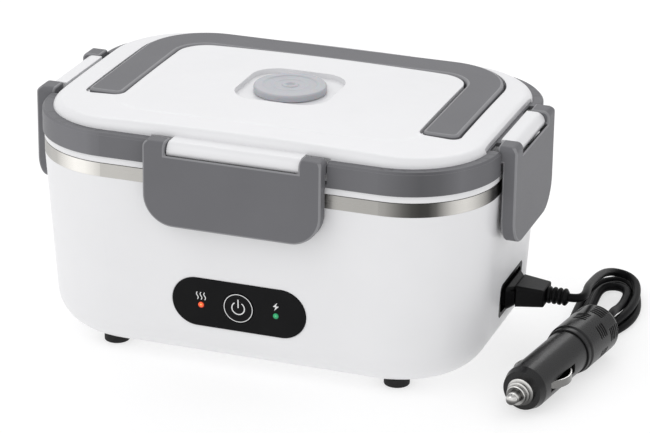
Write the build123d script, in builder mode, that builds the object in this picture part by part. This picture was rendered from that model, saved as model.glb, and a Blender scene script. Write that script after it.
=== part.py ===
from build123d import *
import os
from math import asin, atan, cos, degrees, pi, radians, sin, sqrt, tan

# Electric lunch box: a heated casing, a lift-out steel tray, a lid with four snap latches, a folding
# handle and a steam valve, and a 12 V cord set with a car plug. Millimetres, +Z up, front is -Y,
# origin on the table under the middle of the box.

# ---------------------------------------------------------------- driving dimensions
band_length = 220.0          # grey lid band, left to right
band_width = 150.0           # grey lid band, front to back
corner_radius = 43.5         # grey lid band, in plan
foot_height = 4.0
casing_height = 86.7         # white casing, from its floor to the steel band
steel_band_height = 6.5
skirt_height = 3.2           # white lid skirt seen below the grey band
lid_band_height = 11.2
lid_crown_rise = 6.5         # middle of the lid above the grey band

casing_inset = 0.8           # casing's top edge, in from the grey band
casing_taper = 4.5           # how far the sides draw in on the way down to the floor
casing_foot_corner = 43.0    # plan corner radius at the floor
casing_floor_fillet = 18.0
casing_wall = 2.4
steel_thickness = 0.8
air_gap = 5.0                # casing to inner liner
liner_wall = 1.6
tray_wall = 0.7
tray_corner_fillet = 12.0
liner_corner_fillet = 10.0

# clearances
seat_gap = 0.1               # fixed piece in its seat
parting_gap = 0.3            # lid skirt to steel band
lift_gap = 0.3               # pieces that part when the box is opened
slide_gap = 0.8              # tray wall to liner wall
pin_clearance = 0.05         # hinge pin in a turning bore

# ---------------------------------------------------------------- heights and outlines
z_floor = foot_height
z_rim = z_floor + casing_height
z_parting = z_rim + steel_band_height
z_skirt = z_parting + parting_gap
z_band = z_skirt + skirt_height
z_band_top = z_band + lid_band_height
z_crown = z_band_top + lid_crown_rise
taper_angle = degrees(atan(casing_taper / casing_height))


def side_inset(z):
    """How far the casing's sides stand in from the grey band at height z."""
    return casing_inset + casing_taper * (z_rim - z) / casing_height


def casing_corner(z):
    """Plan corner radius of the casing at height z."""
    top_corner = corner_radius - casing_inset
    return top_corner + (casing_foot_corner - top_corner) * (z_rim - z) / casing_height


def outline(inset):
    """The grey band's plan outline, moved inwards; used inside a sketch."""
    return RectangleRounded(band_length - 2 * inset, band_width - 2 * inset, corner_radius - inset)


def tapered_solid(thickness, bottom, top, edge_radius=0):
    """The space inside the casing's sides moved in by thickness, between two heights."""
    with BuildPart() as solid:
        for z in (bottom, top):
            with BuildSketch(Plane.XY.offset(z)):
                inset = side_inset(z) + thickness
                RectangleRounded(
                    band_length - 2 * inset, band_width - 2 * inset, casing_corner(z) - thickness
                )
        loft(ruled=True)
        if edge_radius:
            fillet(solid.faces().sort_by(Axis.Z)[0].edges(), edge_radius)
    return solid.part


os.makedirs("parts", exist_ok=True)


def save(part, name):
    """Label a finished piece and write its STEP file."""
    part.label = name
    export_step(part, f"parts/{name}.step")


# ---------------------------------------------------------------- control panel place on the front wall
panel_length = 65.0
panel_height = 24.0
panel_z = 35.1               # height of the panel's middle
panel_proud = 0.6
panel_seat = 1.4             # depth of its seat in the wall
panel_plane = Plane(
    origin=(0, -(band_width / 2 - side_inset(panel_z)), panel_z),
    x_dir=(1, 0, 0),
    z_dir=(0, -cos(radians(taper_angle)), -sin(radians(taper_angle))),
)
button_radius = 7.4
button_gap = 0.2             # cap to its hole
button_proud = 0.3           # cap above the panel's face
button_flange = 1.2          # retaining flange, beyond the cap's radius
button_flange_thickness = 1.0
button_travel = 0.6
lamp_radius = 1.5
lamp_offset = 18.2           # lamps left and right of the button
lamp_drop = 1.2              # lamps below the panel's middle line
lamp_proud = 0.4
board_depth = 9.0            # casing's outer face to the board's front face
board_thickness = 1.6
board_length = 56.0
board_height = 13.0
standoff_radius = 2.6
standoff_offset = 24.5
board_screw_radius = 1.0
screw_head_radius = 1.9
screw_head_height = 1.4
switch_size = 6.0
switch_height = 3.5
switch_stem_radius = 1.6
switch_stem_height = 0.9
flange_gap = 0.3             # wall's inner face to the button's flange

# ---------------------------------------------------------------- power inlet place in the right wall
inlet_y = 6.0
inlet_z = 30.0
inlet_width = 36.0           # housing, along Y
inlet_height = 17.0
inlet_corner = 3.0
inlet_wall = 2.0
inlet_depth = 16.0           # from the casing's face inwards
inlet_face = band_length / 2 - side_inset(inlet_z)
contact_pitch = 9.0          # between the two contact pins
contact_radius = 1.2
contact_length = 9.0


def inlet_block():
    """The inlet housing's outer block, cut to the wall's slope."""
    with BuildPart() as block:
        with BuildSketch(Plane.YZ.offset(inlet_face - inlet_depth)):
            with Locations((inlet_y, inlet_z)):
                RectangleRounded(inlet_width, inlet_height, inlet_corner)
        extrude(amount=inlet_depth + casing_taper)
        add(tapered_solid(0, z_floor, z_rim), mode=Mode.INTERSECT)
    return block.part


# ---------------------------------------------------------------- latches: common values
latch_proud = 7.2            # latch's outer face in front of the grey band
hinge_out = 1.0              # pin axis in front of the grey band
hinge_drop = 2.7             # pin axis below the top of the grey band
hinge_z = z_band_top - hinge_drop
ear_rise = 4.8               # top of the latch above the pin axis
back_ear_rise = 2.6          # the back latch stays below the lid's dome
ear_nose = 3.0               # rounding of the latch's outer top edge
ear_wrap = 2.9               # ear's wall round the pin, on the lid's side
ear_gap = 0.35               # ear to its pocket in the lid
flap_gap = 0.7               # flap to the hinge bar, between the ears
ear_width = 10.6
latch_pin_radius = 1.5
hinge_bar_radius = 4.3
hinge_bar_inset = 3.4        # back of the bar's raised part, in from the grey band's face
latch_plate = 2.3
latch_rim = 2.5              # side wall of the latch
latch_back_gap = 0.6         # latch's rim to the grey band
latch_corner = 14.5
latch_top_corner = 2.4
catch_reach = 2.0            # catch bead's face in front of the grey band
catch_drop = 6.7             # underside of the catch bead below the casing's top edge
catch_z = z_rim - catch_drop
catch_height = 3.5
hook_gap = 0.25              # hook to the catch bead
hook_height = 3.5
front_latch_half = 42.4
front_latch_drop = 35.0      # latch's bottom edge below the pin axis
front_latch_bottom = hinge_z - front_latch_drop
side_latch_half = 31.8
side_latch_drop = 44.0
side_latch_bottom = hinge_z - side_latch_drop
# farthest point of the latch's rounded top from the pin axis
nose_out = latch_proud - hinge_out - ear_nose
nose_up = ear_rise - ear_nose
ear_swing = sqrt(nose_out**2 + nose_up**2) + ear_nose

# every latch: (half width, bottom height, distance of the band's face, turn about Z)
latches = {
    "front": (front_latch_half, front_latch_bottom, band_width / 2, 0),
    "right": (side_latch_half, side_latch_bottom, band_length / 2, 90),
    "back": (front_latch_half, front_latch_bottom, band_width / 2, 180),
    "left": (side_latch_half, side_latch_bottom, band_length / 2, 270),
}


def bar_along_x(half_length, radius, y, z):
    """A round bar along X, centred on X = 0."""
    with BuildPart() as bar:
        with BuildSketch(Plane.YZ.offset(-half_length)):
            with Locations((y, z)):
                Circle(radius)
        extrude(amount=2 * half_length)
    return bar.part


# ---------------------------------------------------------------- casing
tongue_inset = casing_inset + steel_thickness + seat_gap
liner_flange = 1.8
z_tray_seat = z_parting - steel_thickness
z_tongue = z_tray_seat - liner_flange
casing_inner = casing_inset + casing_wall
catch_half = 29.0
catch_side_half = 18.0
casing_foot_z = z_floor + casing_wall
foot_inset_side = 40.5       # foot's centre inside the grey band's sides
foot_inset_front = 24.5
foot_x = band_length / 2 - foot_inset_side
foot_y = band_width / 2 - foot_inset_front
foot_radius = 6.0
case_screw_radius = 1.5
case_screw_head_radius = 2.8
case_screw_head_height = 1.6
boss_radius = 3.6
boss_gap = 0.5               # foot of a boss above the casing's floor

with BuildPart() as casing:
    add(tapered_solid(0, z_floor, z_rim, casing_floor_fillet))
    with BuildSketch(Plane.XY.offset(z_rim)):
        outline(tongue_inset)
    extrude(amount=z_tongue - z_rim)
    hollow_fillet = casing_floor_fillet - casing_wall
    add(tapered_solid(casing_wall, casing_foot_z, z_rim, hollow_fillet), mode=Mode.SUBTRACT)
    with BuildSketch(Plane.XY.offset(z_rim)):
        outline(casing_inner)
    extrude(amount=z_tongue - z_rim, mode=Mode.SUBTRACT)
    # catch beads that the latch hooks pass under
    for half_width, _, face, turn in latches.values():
        bead_half = catch_half if half_width == front_latch_half else catch_side_half
        with BuildPart(mode=Mode.PRIVATE) as bead:
            with BuildSketch(Plane.YZ.offset(-bead_half)):
                with BuildLine():
                    Polyline(
                        (-face + casing_wall, catch_z),
                        (-face - catch_reach, catch_z),
                        (-face - catch_reach, catch_z + catch_height / 2),
                        (-face + casing_wall, catch_z + 2 * catch_height),
                        close=True,
                    )
                make_face()
            extrude(amount=2 * bead_half)
        add(bead.part.rotate(Axis.Z, turn))
    # seat and openings of the control panel
    with BuildSketch(panel_plane):
        SlotOverall(panel_length + 2 * seat_gap, panel_height + 2 * seat_gap)
    extrude(amount=-panel_seat, mode=Mode.SUBTRACT)
    with BuildSketch(panel_plane):
        Circle(button_radius + button_gap)
        with Locations((-lamp_offset, -lamp_drop), (lamp_offset, -lamp_drop)):
            Circle(lamp_radius + seat_gap)
    extrude(amount=-2 * casing_wall, mode=Mode.SUBTRACT)
    # standoffs of the control board, each with its screw hole
    with BuildSketch(panel_plane.offset(-board_depth)):
        with Locations((-standoff_offset, 0), (standoff_offset, 0)):
            Circle(standoff_radius)
    extrude(amount=board_depth - panel_seat - seat_gap)
    with BuildSketch(panel_plane.offset(-board_depth)):
        with Locations((-standoff_offset, 0), (standoff_offset, 0)):
            Circle(board_screw_radius)
    extrude(amount=board_depth - casing_wall, mode=Mode.SUBTRACT)
    add(inlet_block(), mode=Mode.SUBTRACT)
    # screw holes in the floor, under the feet
    with BuildSketch(Plane.XY.offset(z_floor)):
        with GridLocations(2 * foot_x, 2 * foot_y, 2, 2):
            Circle(case_screw_radius)
    extrude(amount=casing_wall, mode=Mode.SUBTRACT)
save(casing.part, "outer_casing")

# ---------------------------------------------------------------- steel rim band
rim_lip = 5.2                # how far its top lip reaches in over the liner's flange
with BuildPart() as rim_band:
    with BuildSketch(Plane.XY.offset(z_rim)):
        outline(casing_inset)
    extrude(amount=steel_band_height)
    with BuildSketch(Plane.XY.offset(z_rim)):
        outline(casing_inset + steel_thickness)
    extrude(amount=z_tray_seat - z_rim, mode=Mode.SUBTRACT)
    with BuildSketch(Plane.XY.offset(z_tray_seat)):
        outline(casing_inset + rim_lip)
    extrude(amount=steel_thickness, mode=Mode.SUBTRACT)
save(rim_band.part, "steel_rim_band")

# ---------------------------------------------------------------- inner liner
liner_out = casing_wall + air_gap
liner_in = liner_out + liner_wall
liner_floor = 43.0           # underside of the liner's floor
plate_length = 150.0
plate_width = 80.0
plate_corner = 12.0
plate_flange = 6.0
plate_thickness = 1.6
plate_boss = 4.1             # how far the plate reaches down through the liner's floor
case_screw_reach = 16.0      # screw's length inside the casing
z_plate = liner_floor + liner_wall
with BuildPart() as liner:
    add(tapered_solid(liner_out, liner_floor, z_tray_seat, liner_corner_fillet))
    with BuildSketch(Plane.XY.offset(z_tongue)):
        outline(tongue_inset)
    extrude(amount=liner_flange)
    add(tapered_solid(liner_in, z_plate, z_parting, liner_corner_fillet - liner_wall), mode=Mode.SUBTRACT)
    with BuildSketch(Plane.XY.offset(liner_floor)):
        RectangleRounded(plate_length + 2 * seat_gap, plate_width + 2 * seat_gap, plate_corner)
    extrude(amount=liner_wall, mode=Mode.SUBTRACT)
    # four bosses down to the casing's floor, bored for the case screws
    with BuildSketch(Plane.XY.offset(casing_foot_z + boss_gap)):
        with GridLocations(2 * foot_x, 2 * foot_y, 2, 2):
            Circle(boss_radius)
    extrude(amount=liner_floor - casing_foot_z - boss_gap + seat_gap)
    with BuildSketch(Plane.XY.offset(casing_foot_z)):
        with GridLocations(2 * foot_x, 2 * foot_y, 2, 2):
            Circle(case_screw_radius)
    extrude(amount=case_screw_reach, mode=Mode.SUBTRACT)
save(liner.part, "inner_liner")

# ---------------------------------------------------------------- feet and case screws
case_screw_top = casing_foot_z + case_screw_reach
foot_names = {
    "front_left": (-foot_x, -foot_y),
    "front_right": (foot_x, -foot_y),
    "back_left": (-foot_x, foot_y),
    "back_right": (foot_x, foot_y),
}
foot_edge = 0.6
for corner_name, (x, y) in foot_names.items():
    with BuildPart() as foot:
        with BuildSketch():
            with Locations((x, y)):
                Circle(foot_radius)
        extrude(amount=foot_height)
        fillet(foot.edges().group_by(Axis.Z)[0], foot_edge)
        # pocket for the head of the case screw
        with BuildSketch(Plane.XY.offset(foot_height)):
            with Locations((x, y)):
                Circle(case_screw_head_radius + seat_gap)
        extrude(amount=-case_screw_head_height - seat_gap, mode=Mode.SUBTRACT)
    save(foot.part, f"foot_{corner_name}")

with BuildPart() as case_screws:
    with BuildSketch(Plane.XY.offset(foot_height - case_screw_head_height)):
        with GridLocations(2 * foot_x, 2 * foot_y, 2, 2):
            Circle(case_screw_head_radius)
    extrude(amount=case_screw_head_height)
    with BuildSketch(Plane.XY.offset(foot_height)):
        with GridLocations(2 * foot_x, 2 * foot_y, 2, 2):
            Circle(case_screw_radius)
    extrude(amount=case_screw_top - foot_height)
save(case_screws.part, "case_screws")

# ---------------------------------------------------------------- heater under the tray
stone_length = 35.0
stone_width = 24.0
stone_height = 3.0
stone_pitch = 40.0
z_boss = z_plate - plate_boss
z_stone = z_boss - stone_height
clamp_thickness = 1.0
clamp_length = 96.0
clamp_width = 20.0
clamp_screw_pitch = 86.0
clamp_screw_radius = 1.5
clamp_screw_bite = 3.0
pad_thickness = 2.0
pad_length = 78.0
pad_width = 34.0
thermostat_x = -60.0
thermostat_radius = 6.5
thermostat_height = 6.0
with BuildPart() as heating_plate:
    with BuildSketch(Plane.XY.offset(z_plate)):
        RectangleRounded(
            plate_length + 2 * plate_flange, plate_width + 2 * plate_flange, plate_corner + plate_flange
        )
    extrude(amount=plate_thickness)
    with BuildSketch(Plane.XY.offset(z_boss)):
        RectangleRounded(plate_length, plate_width, plate_corner)
    extrude(amount=plate_boss)
    with BuildSketch(Plane.XY.offset(z_boss)):
        with GridLocations(clamp_screw_pitch, 0, 2, 1):
            Circle(clamp_screw_radius)
    extrude(amount=clamp_screw_bite, mode=Mode.SUBTRACT)
save(heating_plate.part, "heating_plate")

with BuildPart() as heating_stones:
    with BuildSketch(Plane.XY.offset(z_stone)):
        with GridLocations(stone_pitch, 0, 2, 1):
            Rectangle(stone_length, stone_width)
    extrude(amount=stone_height)
save(heating_stones.part, "heating_stones")

with BuildPart() as clamp_plate:
    with BuildSketch(Plane.XY.offset(z_stone - clamp_thickness)):
        Rectangle(clamp_length, clamp_width)
        with GridLocations(clamp_screw_pitch, 0, 2, 1):
            Circle(clamp_screw_radius, mode=Mode.SUBTRACT)
    extrude(amount=clamp_thickness)
save(clamp_plate.part, "heater_clamp")

with BuildPart() as clamp_screws:
    with BuildSketch(Plane.XY.offset(z_stone - clamp_thickness)):
        with GridLocations(clamp_screw_pitch, 0, 2, 1):
            Circle(clamp_screw_radius)
    extrude(amount=clamp_thickness + stone_height + clamp_screw_bite)
    with BuildSketch(Plane.XY.offset(z_stone - clamp_thickness)):
        with GridLocations(clamp_screw_pitch, 0, 2, 1):
            Circle(2 * clamp_screw_radius)
    extrude(amount=-clamp_screw_radius)
save(clamp_screws.part, "clamp_screws")

with BuildPart() as pad:
    with BuildSketch(Plane.XY.offset(z_stone - clamp_thickness - pad_thickness)):
        Rectangle(pad_length, pad_width)
    extrude(amount=pad_thickness)
save(pad.part, "insulation_pad")

with BuildPart() as thermostat:
    with BuildSketch(Plane.XY.offset(z_boss - thermostat_height)):
        with Locations((thermostat_x, 0)):
            Circle(thermostat_radius)
    extrude(amount=thermostat_height)
save(thermostat.part, "thermostat")

# ---------------------------------------------------------------- control panel, lamps, button, board
panel_edge = 0.5
with BuildPart() as panel:
    with BuildSketch(panel_plane.offset(-panel_seat)):
        SlotOverall(panel_length, panel_height)
    extrude(amount=panel_seat + panel_proud)
    fillet(panel.faces().sort_by(Axis.Y)[0].edges(), panel_edge)
    with BuildSketch(panel_plane.offset(-panel_seat)):
        Circle(button_radius + button_gap)
        with Locations((-lamp_offset, -lamp_drop), (lamp_offset, -lamp_drop)):
            Circle(lamp_radius + seat_gap)
    extrude(amount=2 * panel_seat, mode=Mode.SUBTRACT)
save(panel.part, "control_panel")

for lamp_name, side in (("heat_lamp", -1), ("power_lamp", 1)):
    with BuildPart() as lamp:
        with BuildSketch(panel_plane.offset(-board_depth)):
            with Locations((side * lamp_offset, -lamp_drop)):
                Circle(lamp_radius)
        extrude(amount=board_depth + panel_proud + lamp_proud)
        fillet(lamp.faces().sort_by(Axis.Y)[0].edges(), lamp_proud)
    save(lamp.part, lamp_name)

button_face = panel_proud + button_proud
button_back = casing_wall + flange_gap
switch_top = board_depth - switch_height - switch_stem_height
button_stem = switch_top - button_travel - seat_gap
button_edge = 0.4
with BuildPart() as button:
    with BuildSketch(panel_plane.offset(-button_back)):
        Circle(button_radius)
    extrude(amount=button_back + button_face)
    fillet(button.faces().sort_by(Axis.Y)[0].edges(), button_edge)
    with BuildSketch(panel_plane.offset(-button_back)):
        Circle(button_radius + button_flange)
    extrude(amount=-button_flange_thickness)
    with BuildSketch(panel_plane.offset(-button_back)):
        Circle(switch_stem_radius)
    extrude(amount=button_back - button_stem)
save(button.part, "power_button")

with BuildPart() as board:
    with BuildSketch(panel_plane.offset(-board_depth - board_thickness)):
        Rectangle(board_length, board_height)
        with Locations((-standoff_offset, 0), (standoff_offset, 0)):
            Circle(board_screw_radius, mode=Mode.SUBTRACT)
    extrude(amount=board_thickness)
save(board.part, "control_board")

with BuildPart() as board_screws:
    with BuildSketch(panel_plane.offset(-board_depth - board_thickness)):
        with Locations((-standoff_offset, 0), (standoff_offset, 0)):
            Circle(board_screw_radius)
    extrude(amount=board_thickness + board_depth - 2 * casing_wall)
    with BuildSketch(panel_plane.offset(-board_depth - board_thickness)):
        with Locations((-standoff_offset, 0), (standoff_offset, 0)):
            Circle(screw_head_radius)
    extrude(amount=-screw_head_height)
save(board_screws.part, "board_screws")

with BuildPart() as tact_switch:
    with BuildSketch(panel_plane.offset(-board_depth)):
        Rectangle(switch_size, switch_size)
    extrude(amount=switch_height)
    with BuildSketch(panel_plane.offset(-board_depth + switch_height)):
        Circle(switch_stem_radius)
    extrude(amount=switch_stem_height)
save(tact_switch.part, "button_switch")

# ---------------------------------------------------------------- power inlet and its contact pins
pin_flange = 2.0             # the pins' tails behind the housing
with BuildPart() as inlet:
    add(inlet_block())
    with BuildSketch(Plane.YZ.offset(inlet_face - inlet_depth + inlet_wall)):
        with Locations((inlet_y, inlet_z)):
            RectangleRounded(
                inlet_width - 2 * inlet_wall, inlet_height - 2 * inlet_wall, inlet_corner - seat_gap
            )
    extrude(amount=inlet_depth + casing_taper, mode=Mode.SUBTRACT)
    with BuildSketch(Plane.YZ.offset(inlet_face - inlet_depth)):
        with Locations((inlet_y, inlet_z)):
            with GridLocations(contact_pitch, 0, 2, 1):
                Circle(contact_radius)
    extrude(amount=inlet_wall, mode=Mode.SUBTRACT)
save(inlet.part, "power_inlet")

with BuildPart() as inlet_pins:
    with BuildSketch(Plane.YZ.offset(inlet_face - inlet_depth - pin_flange)):
        with Locations((inlet_y, inlet_z)):
            with GridLocations(contact_pitch, 0, 2, 1):
                Circle(contact_radius)
    extrude(amount=pin_flange + inlet_wall + contact_length)
save(inlet_pins.part, "inlet_pins")

# ---------------------------------------------------------------- inner wires
wire_radius = 0.9
pin_tail_x = inlet_face - inlet_depth - pin_flange
stone_edge_x = (stone_pitch + stone_length) / 2
z_wire = z_stone + stone_height / 2
heater_wire_bend = 5.0
heater_wire_pitch = 5.0      # between the two wires where they meet the stones
heater_wire_out = 12.0       # straight run behind the inlet's pins
heater_wire_in = 22.0        # straight run into the stones
with BuildPart() as heater_wires:
    for side in (-1, 1):
        y = inlet_y + side * contact_pitch / 2
        y_stone = inlet_y + side * heater_wire_pitch / 2
        with BuildLine() as route:
            FilletPolyline(
                (pin_tail_x, y, inlet_z),
                (pin_tail_x - heater_wire_out, y, inlet_z),
                (stone_edge_x + heater_wire_in, y_stone, z_wire),
                (stone_edge_x, y_stone, z_wire),
                radius=heater_wire_bend,
            )
        with BuildSketch(Plane.YZ.offset(pin_tail_x)):
            with Locations((y, inlet_z)):
                Circle(wire_radius)
        sweep(path=route.line)
save(heater_wires.part, "heater_wires")

board_back = panel_plane.offset(-board_depth - board_thickness)
board_wire_bend = 4.0
board_wire_low = 20.0        # height of the wires' run under the heater
board_wire_x = 12.0          # where they meet the board
board_wire_pitch = 6.0
board_wire_out = 14.0        # straight run behind the inlet
board_wire_bend_x = 50.0     # corner of the run under the heater
board_wire_bend_y = -24.0
board_wire_rise = 22.0       # where the wires start to rise, behind the board
board_wire_in = 10.0         # straight run into the board
with BuildPart() as board_wires:
    for side in (-1, 1):
        start = (inlet_face - inlet_depth, inlet_y + side * contact_pitch, inlet_z - contact_pitch / 2)
        end_x = board_wire_x - side * board_wire_pitch / 2
        end = board_back.from_local_coords((end_x, 0, -seat_gap))
        with BuildLine() as route:
            FilletPolyline(
                start,
                (start[0] - board_wire_out, start[1], start[2]),
                (board_wire_bend_x, board_wire_bend_y + side * board_wire_pitch / 2, board_wire_low),
                (end_x, end.Y + board_wire_rise, board_wire_low),
                (end_x, end.Y + board_wire_in, end.Z),
                end,
                radius=board_wire_bend,
            )
        with BuildSketch(Plane.YZ.offset(start[0])):
            with Locations((start[1], start[2])):
                Circle(wire_radius)
        sweep(path=route.line)
save(board_wires.part, "board_wires")

# ---------------------------------------------------------------- food tray
tray_out = liner_in + slide_gap
tray_flange_inset = casing_inset + rim_lip + lift_gap
z_tray = z_plate + plate_thickness + lift_gap
with BuildPart() as tray:
    add(tapered_solid(tray_out, z_tray, z_parting, tray_corner_fillet))
    with BuildSketch(Plane.XY.offset(z_tray_seat)):
        outline(tray_flange_inset)
    extrude(amount=steel_thickness)
    add(
        tapered_solid(tray_out + tray_wall, z_tray + tray_wall, z_parting, tray_corner_fillet - tray_wall),
        mode=Mode.SUBTRACT,
    )
save(tray.part, "food_tray")

# ---------------------------------------------------------------- handle and its place in the lid
handle_inset = 20.0          # handle inside the grey band's sides
handle_half = band_length / 2 - handle_inset
handle_arm = 17.0
handle_back_inset = 8.4
handle_back = band_width / 2 - handle_back_inset
handle_bar = 18.5
handle_front_inset = 41.0
handle_front = handle_front_inset - band_width / 2
handle_thickness = 7.0
handle_outer_corner = 32.0
handle_inner_corner = 15.0
handle_end_corner = 3.4      # plan corners at the front ends of the arms
handle_sink = 1.2            # handle's top below the crown of the lid
handle_gap = 1.3             # handle to the sides of its recess
handle_front_gap = 2.2
handle_floor_gap = 0.6
recess_wall = 2.2
handle_top = z_crown - handle_sink
handle_pin_z = handle_top - handle_thickness / 2
handle_pin_y = handle_front + handle_thickness / 2
handle_pin_radius = 1.5
handle_pin_bite = 1.2        # pin's ends in the recess walls
far = 2 * band_length        # longer than anything that it cuts


def handle_outline(grow=0.0, front=0.0):
    """The handle's U, grown on every side; used inside a sketch."""
    outer_half = handle_half + grow
    inner_half = handle_half - handle_arm - grow
    with Locations((0, handle_back + grow - far / 2)):
        RectangleRounded(2 * outer_half, far, handle_outer_corner + grow)
    with Locations((0, handle_back - handle_bar - grow - far / 2)):
        RectangleRounded(2 * inner_half, far, handle_inner_corner - grow, mode=Mode.SUBTRACT)
    with Locations((0, handle_front - front - far / 2)):
        Rectangle(far, far, mode=Mode.SUBTRACT)


def arm_corners(sketch):
    """Corners of a handle outline at the front ends of its arms."""
    return sketch.vertices().group_by(Axis.Y)[0]


handle_edge = 1.6
with BuildPart() as handle:
    with BuildSketch(Plane.XY.offset(handle_top - handle_thickness)):
        handle_outline()
    extrude(amount=handle_thickness)
    # rounded ends of the arms, about the pins
    with BuildSketch(Plane.YZ.offset(-handle_half)):
        with Locations((handle_front + far / 2, handle_pin_z)):
            SlotOverall(far, handle_thickness)
    extrude(amount=2 * handle_half, mode=Mode.INTERSECT)
    top_edges = handle.faces().sort_by(Axis.Z)[-1].edges()
    front_line = top_edges.group_by(Axis.Y)[0]
    fillet([edge for edge in top_edges if edge not in front_line], handle_edge)
    with BuildSketch(Plane.XY.offset(handle_top - handle_thickness)) as handle_plan:
        handle_outline()
        fillet(arm_corners(handle_plan), handle_end_corner)
    extrude(amount=handle_thickness, mode=Mode.INTERSECT)
    for side in (-1, 1):
        arm_middle = side * (handle_half - handle_arm / 2)
        with BuildSketch(Plane.YZ.offset(arm_middle - handle_arm)):
            with Locations((handle_pin_y, handle_pin_z)):
                Circle(handle_pin_radius + pin_clearance)
        extrude(amount=2 * handle_arm, mode=Mode.SUBTRACT)
save(handle.part, "carry_handle")

handle_pin_length = handle_arm + 2 * (handle_gap + handle_pin_bite)
for pin_name, side in (("handle_pin_left", -1), ("handle_pin_right", 1)):
    arm_middle = side * (handle_half - handle_arm / 2)
    with BuildPart() as handle_pin:
        with BuildSketch(Plane.YZ.offset(arm_middle - handle_pin_length / 2)):
            with Locations((handle_pin_y, handle_pin_z)):
                Circle(handle_pin_radius)
        extrude(amount=handle_pin_length)
    save(handle_pin.part, pin_name)

# ---------------------------------------------------------------- lid
band_ledge = 5.0             # width of the grey band's flat top
band_wall = 2.4
band_ledge_height = 2.0
band_edge = 1.0
lid_wall = 7.4               # from the grey band's face to the lid's cavity
lid_shoulder = 4.6
crown_radius = 2000.0
lid_top_wall = 4.4
z_ceiling = z_crown - lid_top_wall
liner_plate = 1.8
liner_lift = 1.9             # liner's underside above the skirt's foot
z_lid_liner = z_skirt + liner_lift
z_lid_screw_boss = z_lid_liner + liner_plate
lid_boss_radius = 3.6
lid_boss_inset = 52.0        # lid's screw posts inside the grey band
lid_boss_front_inset = 23.0
lid_boss_back_inset = 41.0
lid_boss_x = band_length / 2 - lid_boss_inset
lid_boss_front = lid_boss_front_inset - band_width / 2
lid_boss_back = band_width / 2 - lid_boss_back_inset
lid_screw_radius = 1.3
lid_screw_head = 2.7
lid_screw_head_height = 1.6
lid_screw_bite = 9.0
valve_x = -2.0
valve_radius = 17.2
valve_recess = 46.0          # square finger recess round the valve
valve_recess_corner = 13.0
valve_recess_depth = 2.6
valve_stem_radius = 4.0
valve_stem_gap = 0.3
vent_wall = 2.2
lid_boss_places = [
    (x, y) for x in (-lid_boss_x, lid_boss_x) for y in (lid_boss_front, lid_boss_back)
]
recess_floor = handle_top - handle_thickness - handle_floor_gap
z_ledge = z_band_top - band_ledge_height
notch_inset = 6.4            # straight edge of the lid's dome beside each latch
notch_side = 5.0             # notch beyond the latch's sides
notched = ("right", "left")    # here a strip of the ledge shows between dome and bar
web_bite = 1.0               # hinge bar's web into the lid's wall
bar_merge = 0.6              # front and back hinge bars into the lid's dome
web_back = lid_wall - web_bite


def lid_cavity(bottom, top, spare_posts, spare_recess):
    """Empty space under the lid between two heights, around what stands in it."""
    with BuildPart() as cavity:
        with BuildSketch(Plane.XY.offset(bottom)):
            outline(lid_wall)
            if spare_posts:
                with Locations(*lid_boss_places):
                    Circle(lid_boss_radius, mode=Mode.SUBTRACT)
                with Locations((valve_x, 0)):
                    Circle(valve_stem_radius + valve_stem_gap + vent_wall, mode=Mode.SUBTRACT)
        extrude(amount=top - bottom)
        if spare_recess:
            with BuildSketch(Plane.XY.offset(bottom)):
                handle_outline(handle_gap + recess_wall, handle_front_gap + recess_wall)
            extrude(amount=top - bottom, mode=Mode.SUBTRACT)
    return cavity.part


def ear_pockets(half_width, face):
    """Room in the lid and its band for the two ears of a front latch, at every angle of the latch."""
    pockets = []
    pocket_width = ear_width + 2 * ear_gap
    for side in (-1, 1):
        with BuildPart() as pocket:
            with BuildSketch(Plane.YZ.offset(side * (half_width - ear_width / 2) - pocket_width / 2)):
                with Locations((-face - hinge_out, hinge_z)):
                    Circle(ear_swing + ear_gap)
            extrude(amount=pocket_width)
        pockets.append(pocket.part)
    return pockets


def hinge_bar_block(half_width, face, raised_back, back):
    """The bar that a front latch hangs on, and the web that ties it to the lid's wall."""
    bar_half = half_width - ear_width - ear_gap
    with BuildPart() as block:
        with BuildSketch(Plane.YZ.offset(-bar_half)):
            with Locations((-face - hinge_out, hinge_z)):
                Circle(hinge_bar_radius)
            with BuildLine():
                Polyline(
                    (-face - hinge_out, hinge_z - hinge_bar_radius),
                    (-face + back, hinge_z - hinge_bar_radius),
                    (-face + back, z_ledge),
                    (-face + raised_back, z_ledge),
                    (-face + raised_back, hinge_z + hinge_bar_radius),
                    (-face - hinge_out, hinge_z + hinge_bar_radius),
                    close=True,
                )
            make_face()
        extrude(amount=2 * bar_half)
    return block.part


def ledge_notch(half_width, face, start, top):
    """Straight strip beside a front latch, from the ledge's underside up, between two insets."""
    with BuildPart() as strip:
        with BuildSketch(Plane.XY.offset(z_ledge)):
            with Locations((0, -face + (start + notch_inset) / 2)):
                Rectangle(2 * (half_width + notch_side), notch_inset - start)
        extrude(amount=top - z_ledge)
    return strip.part


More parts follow.
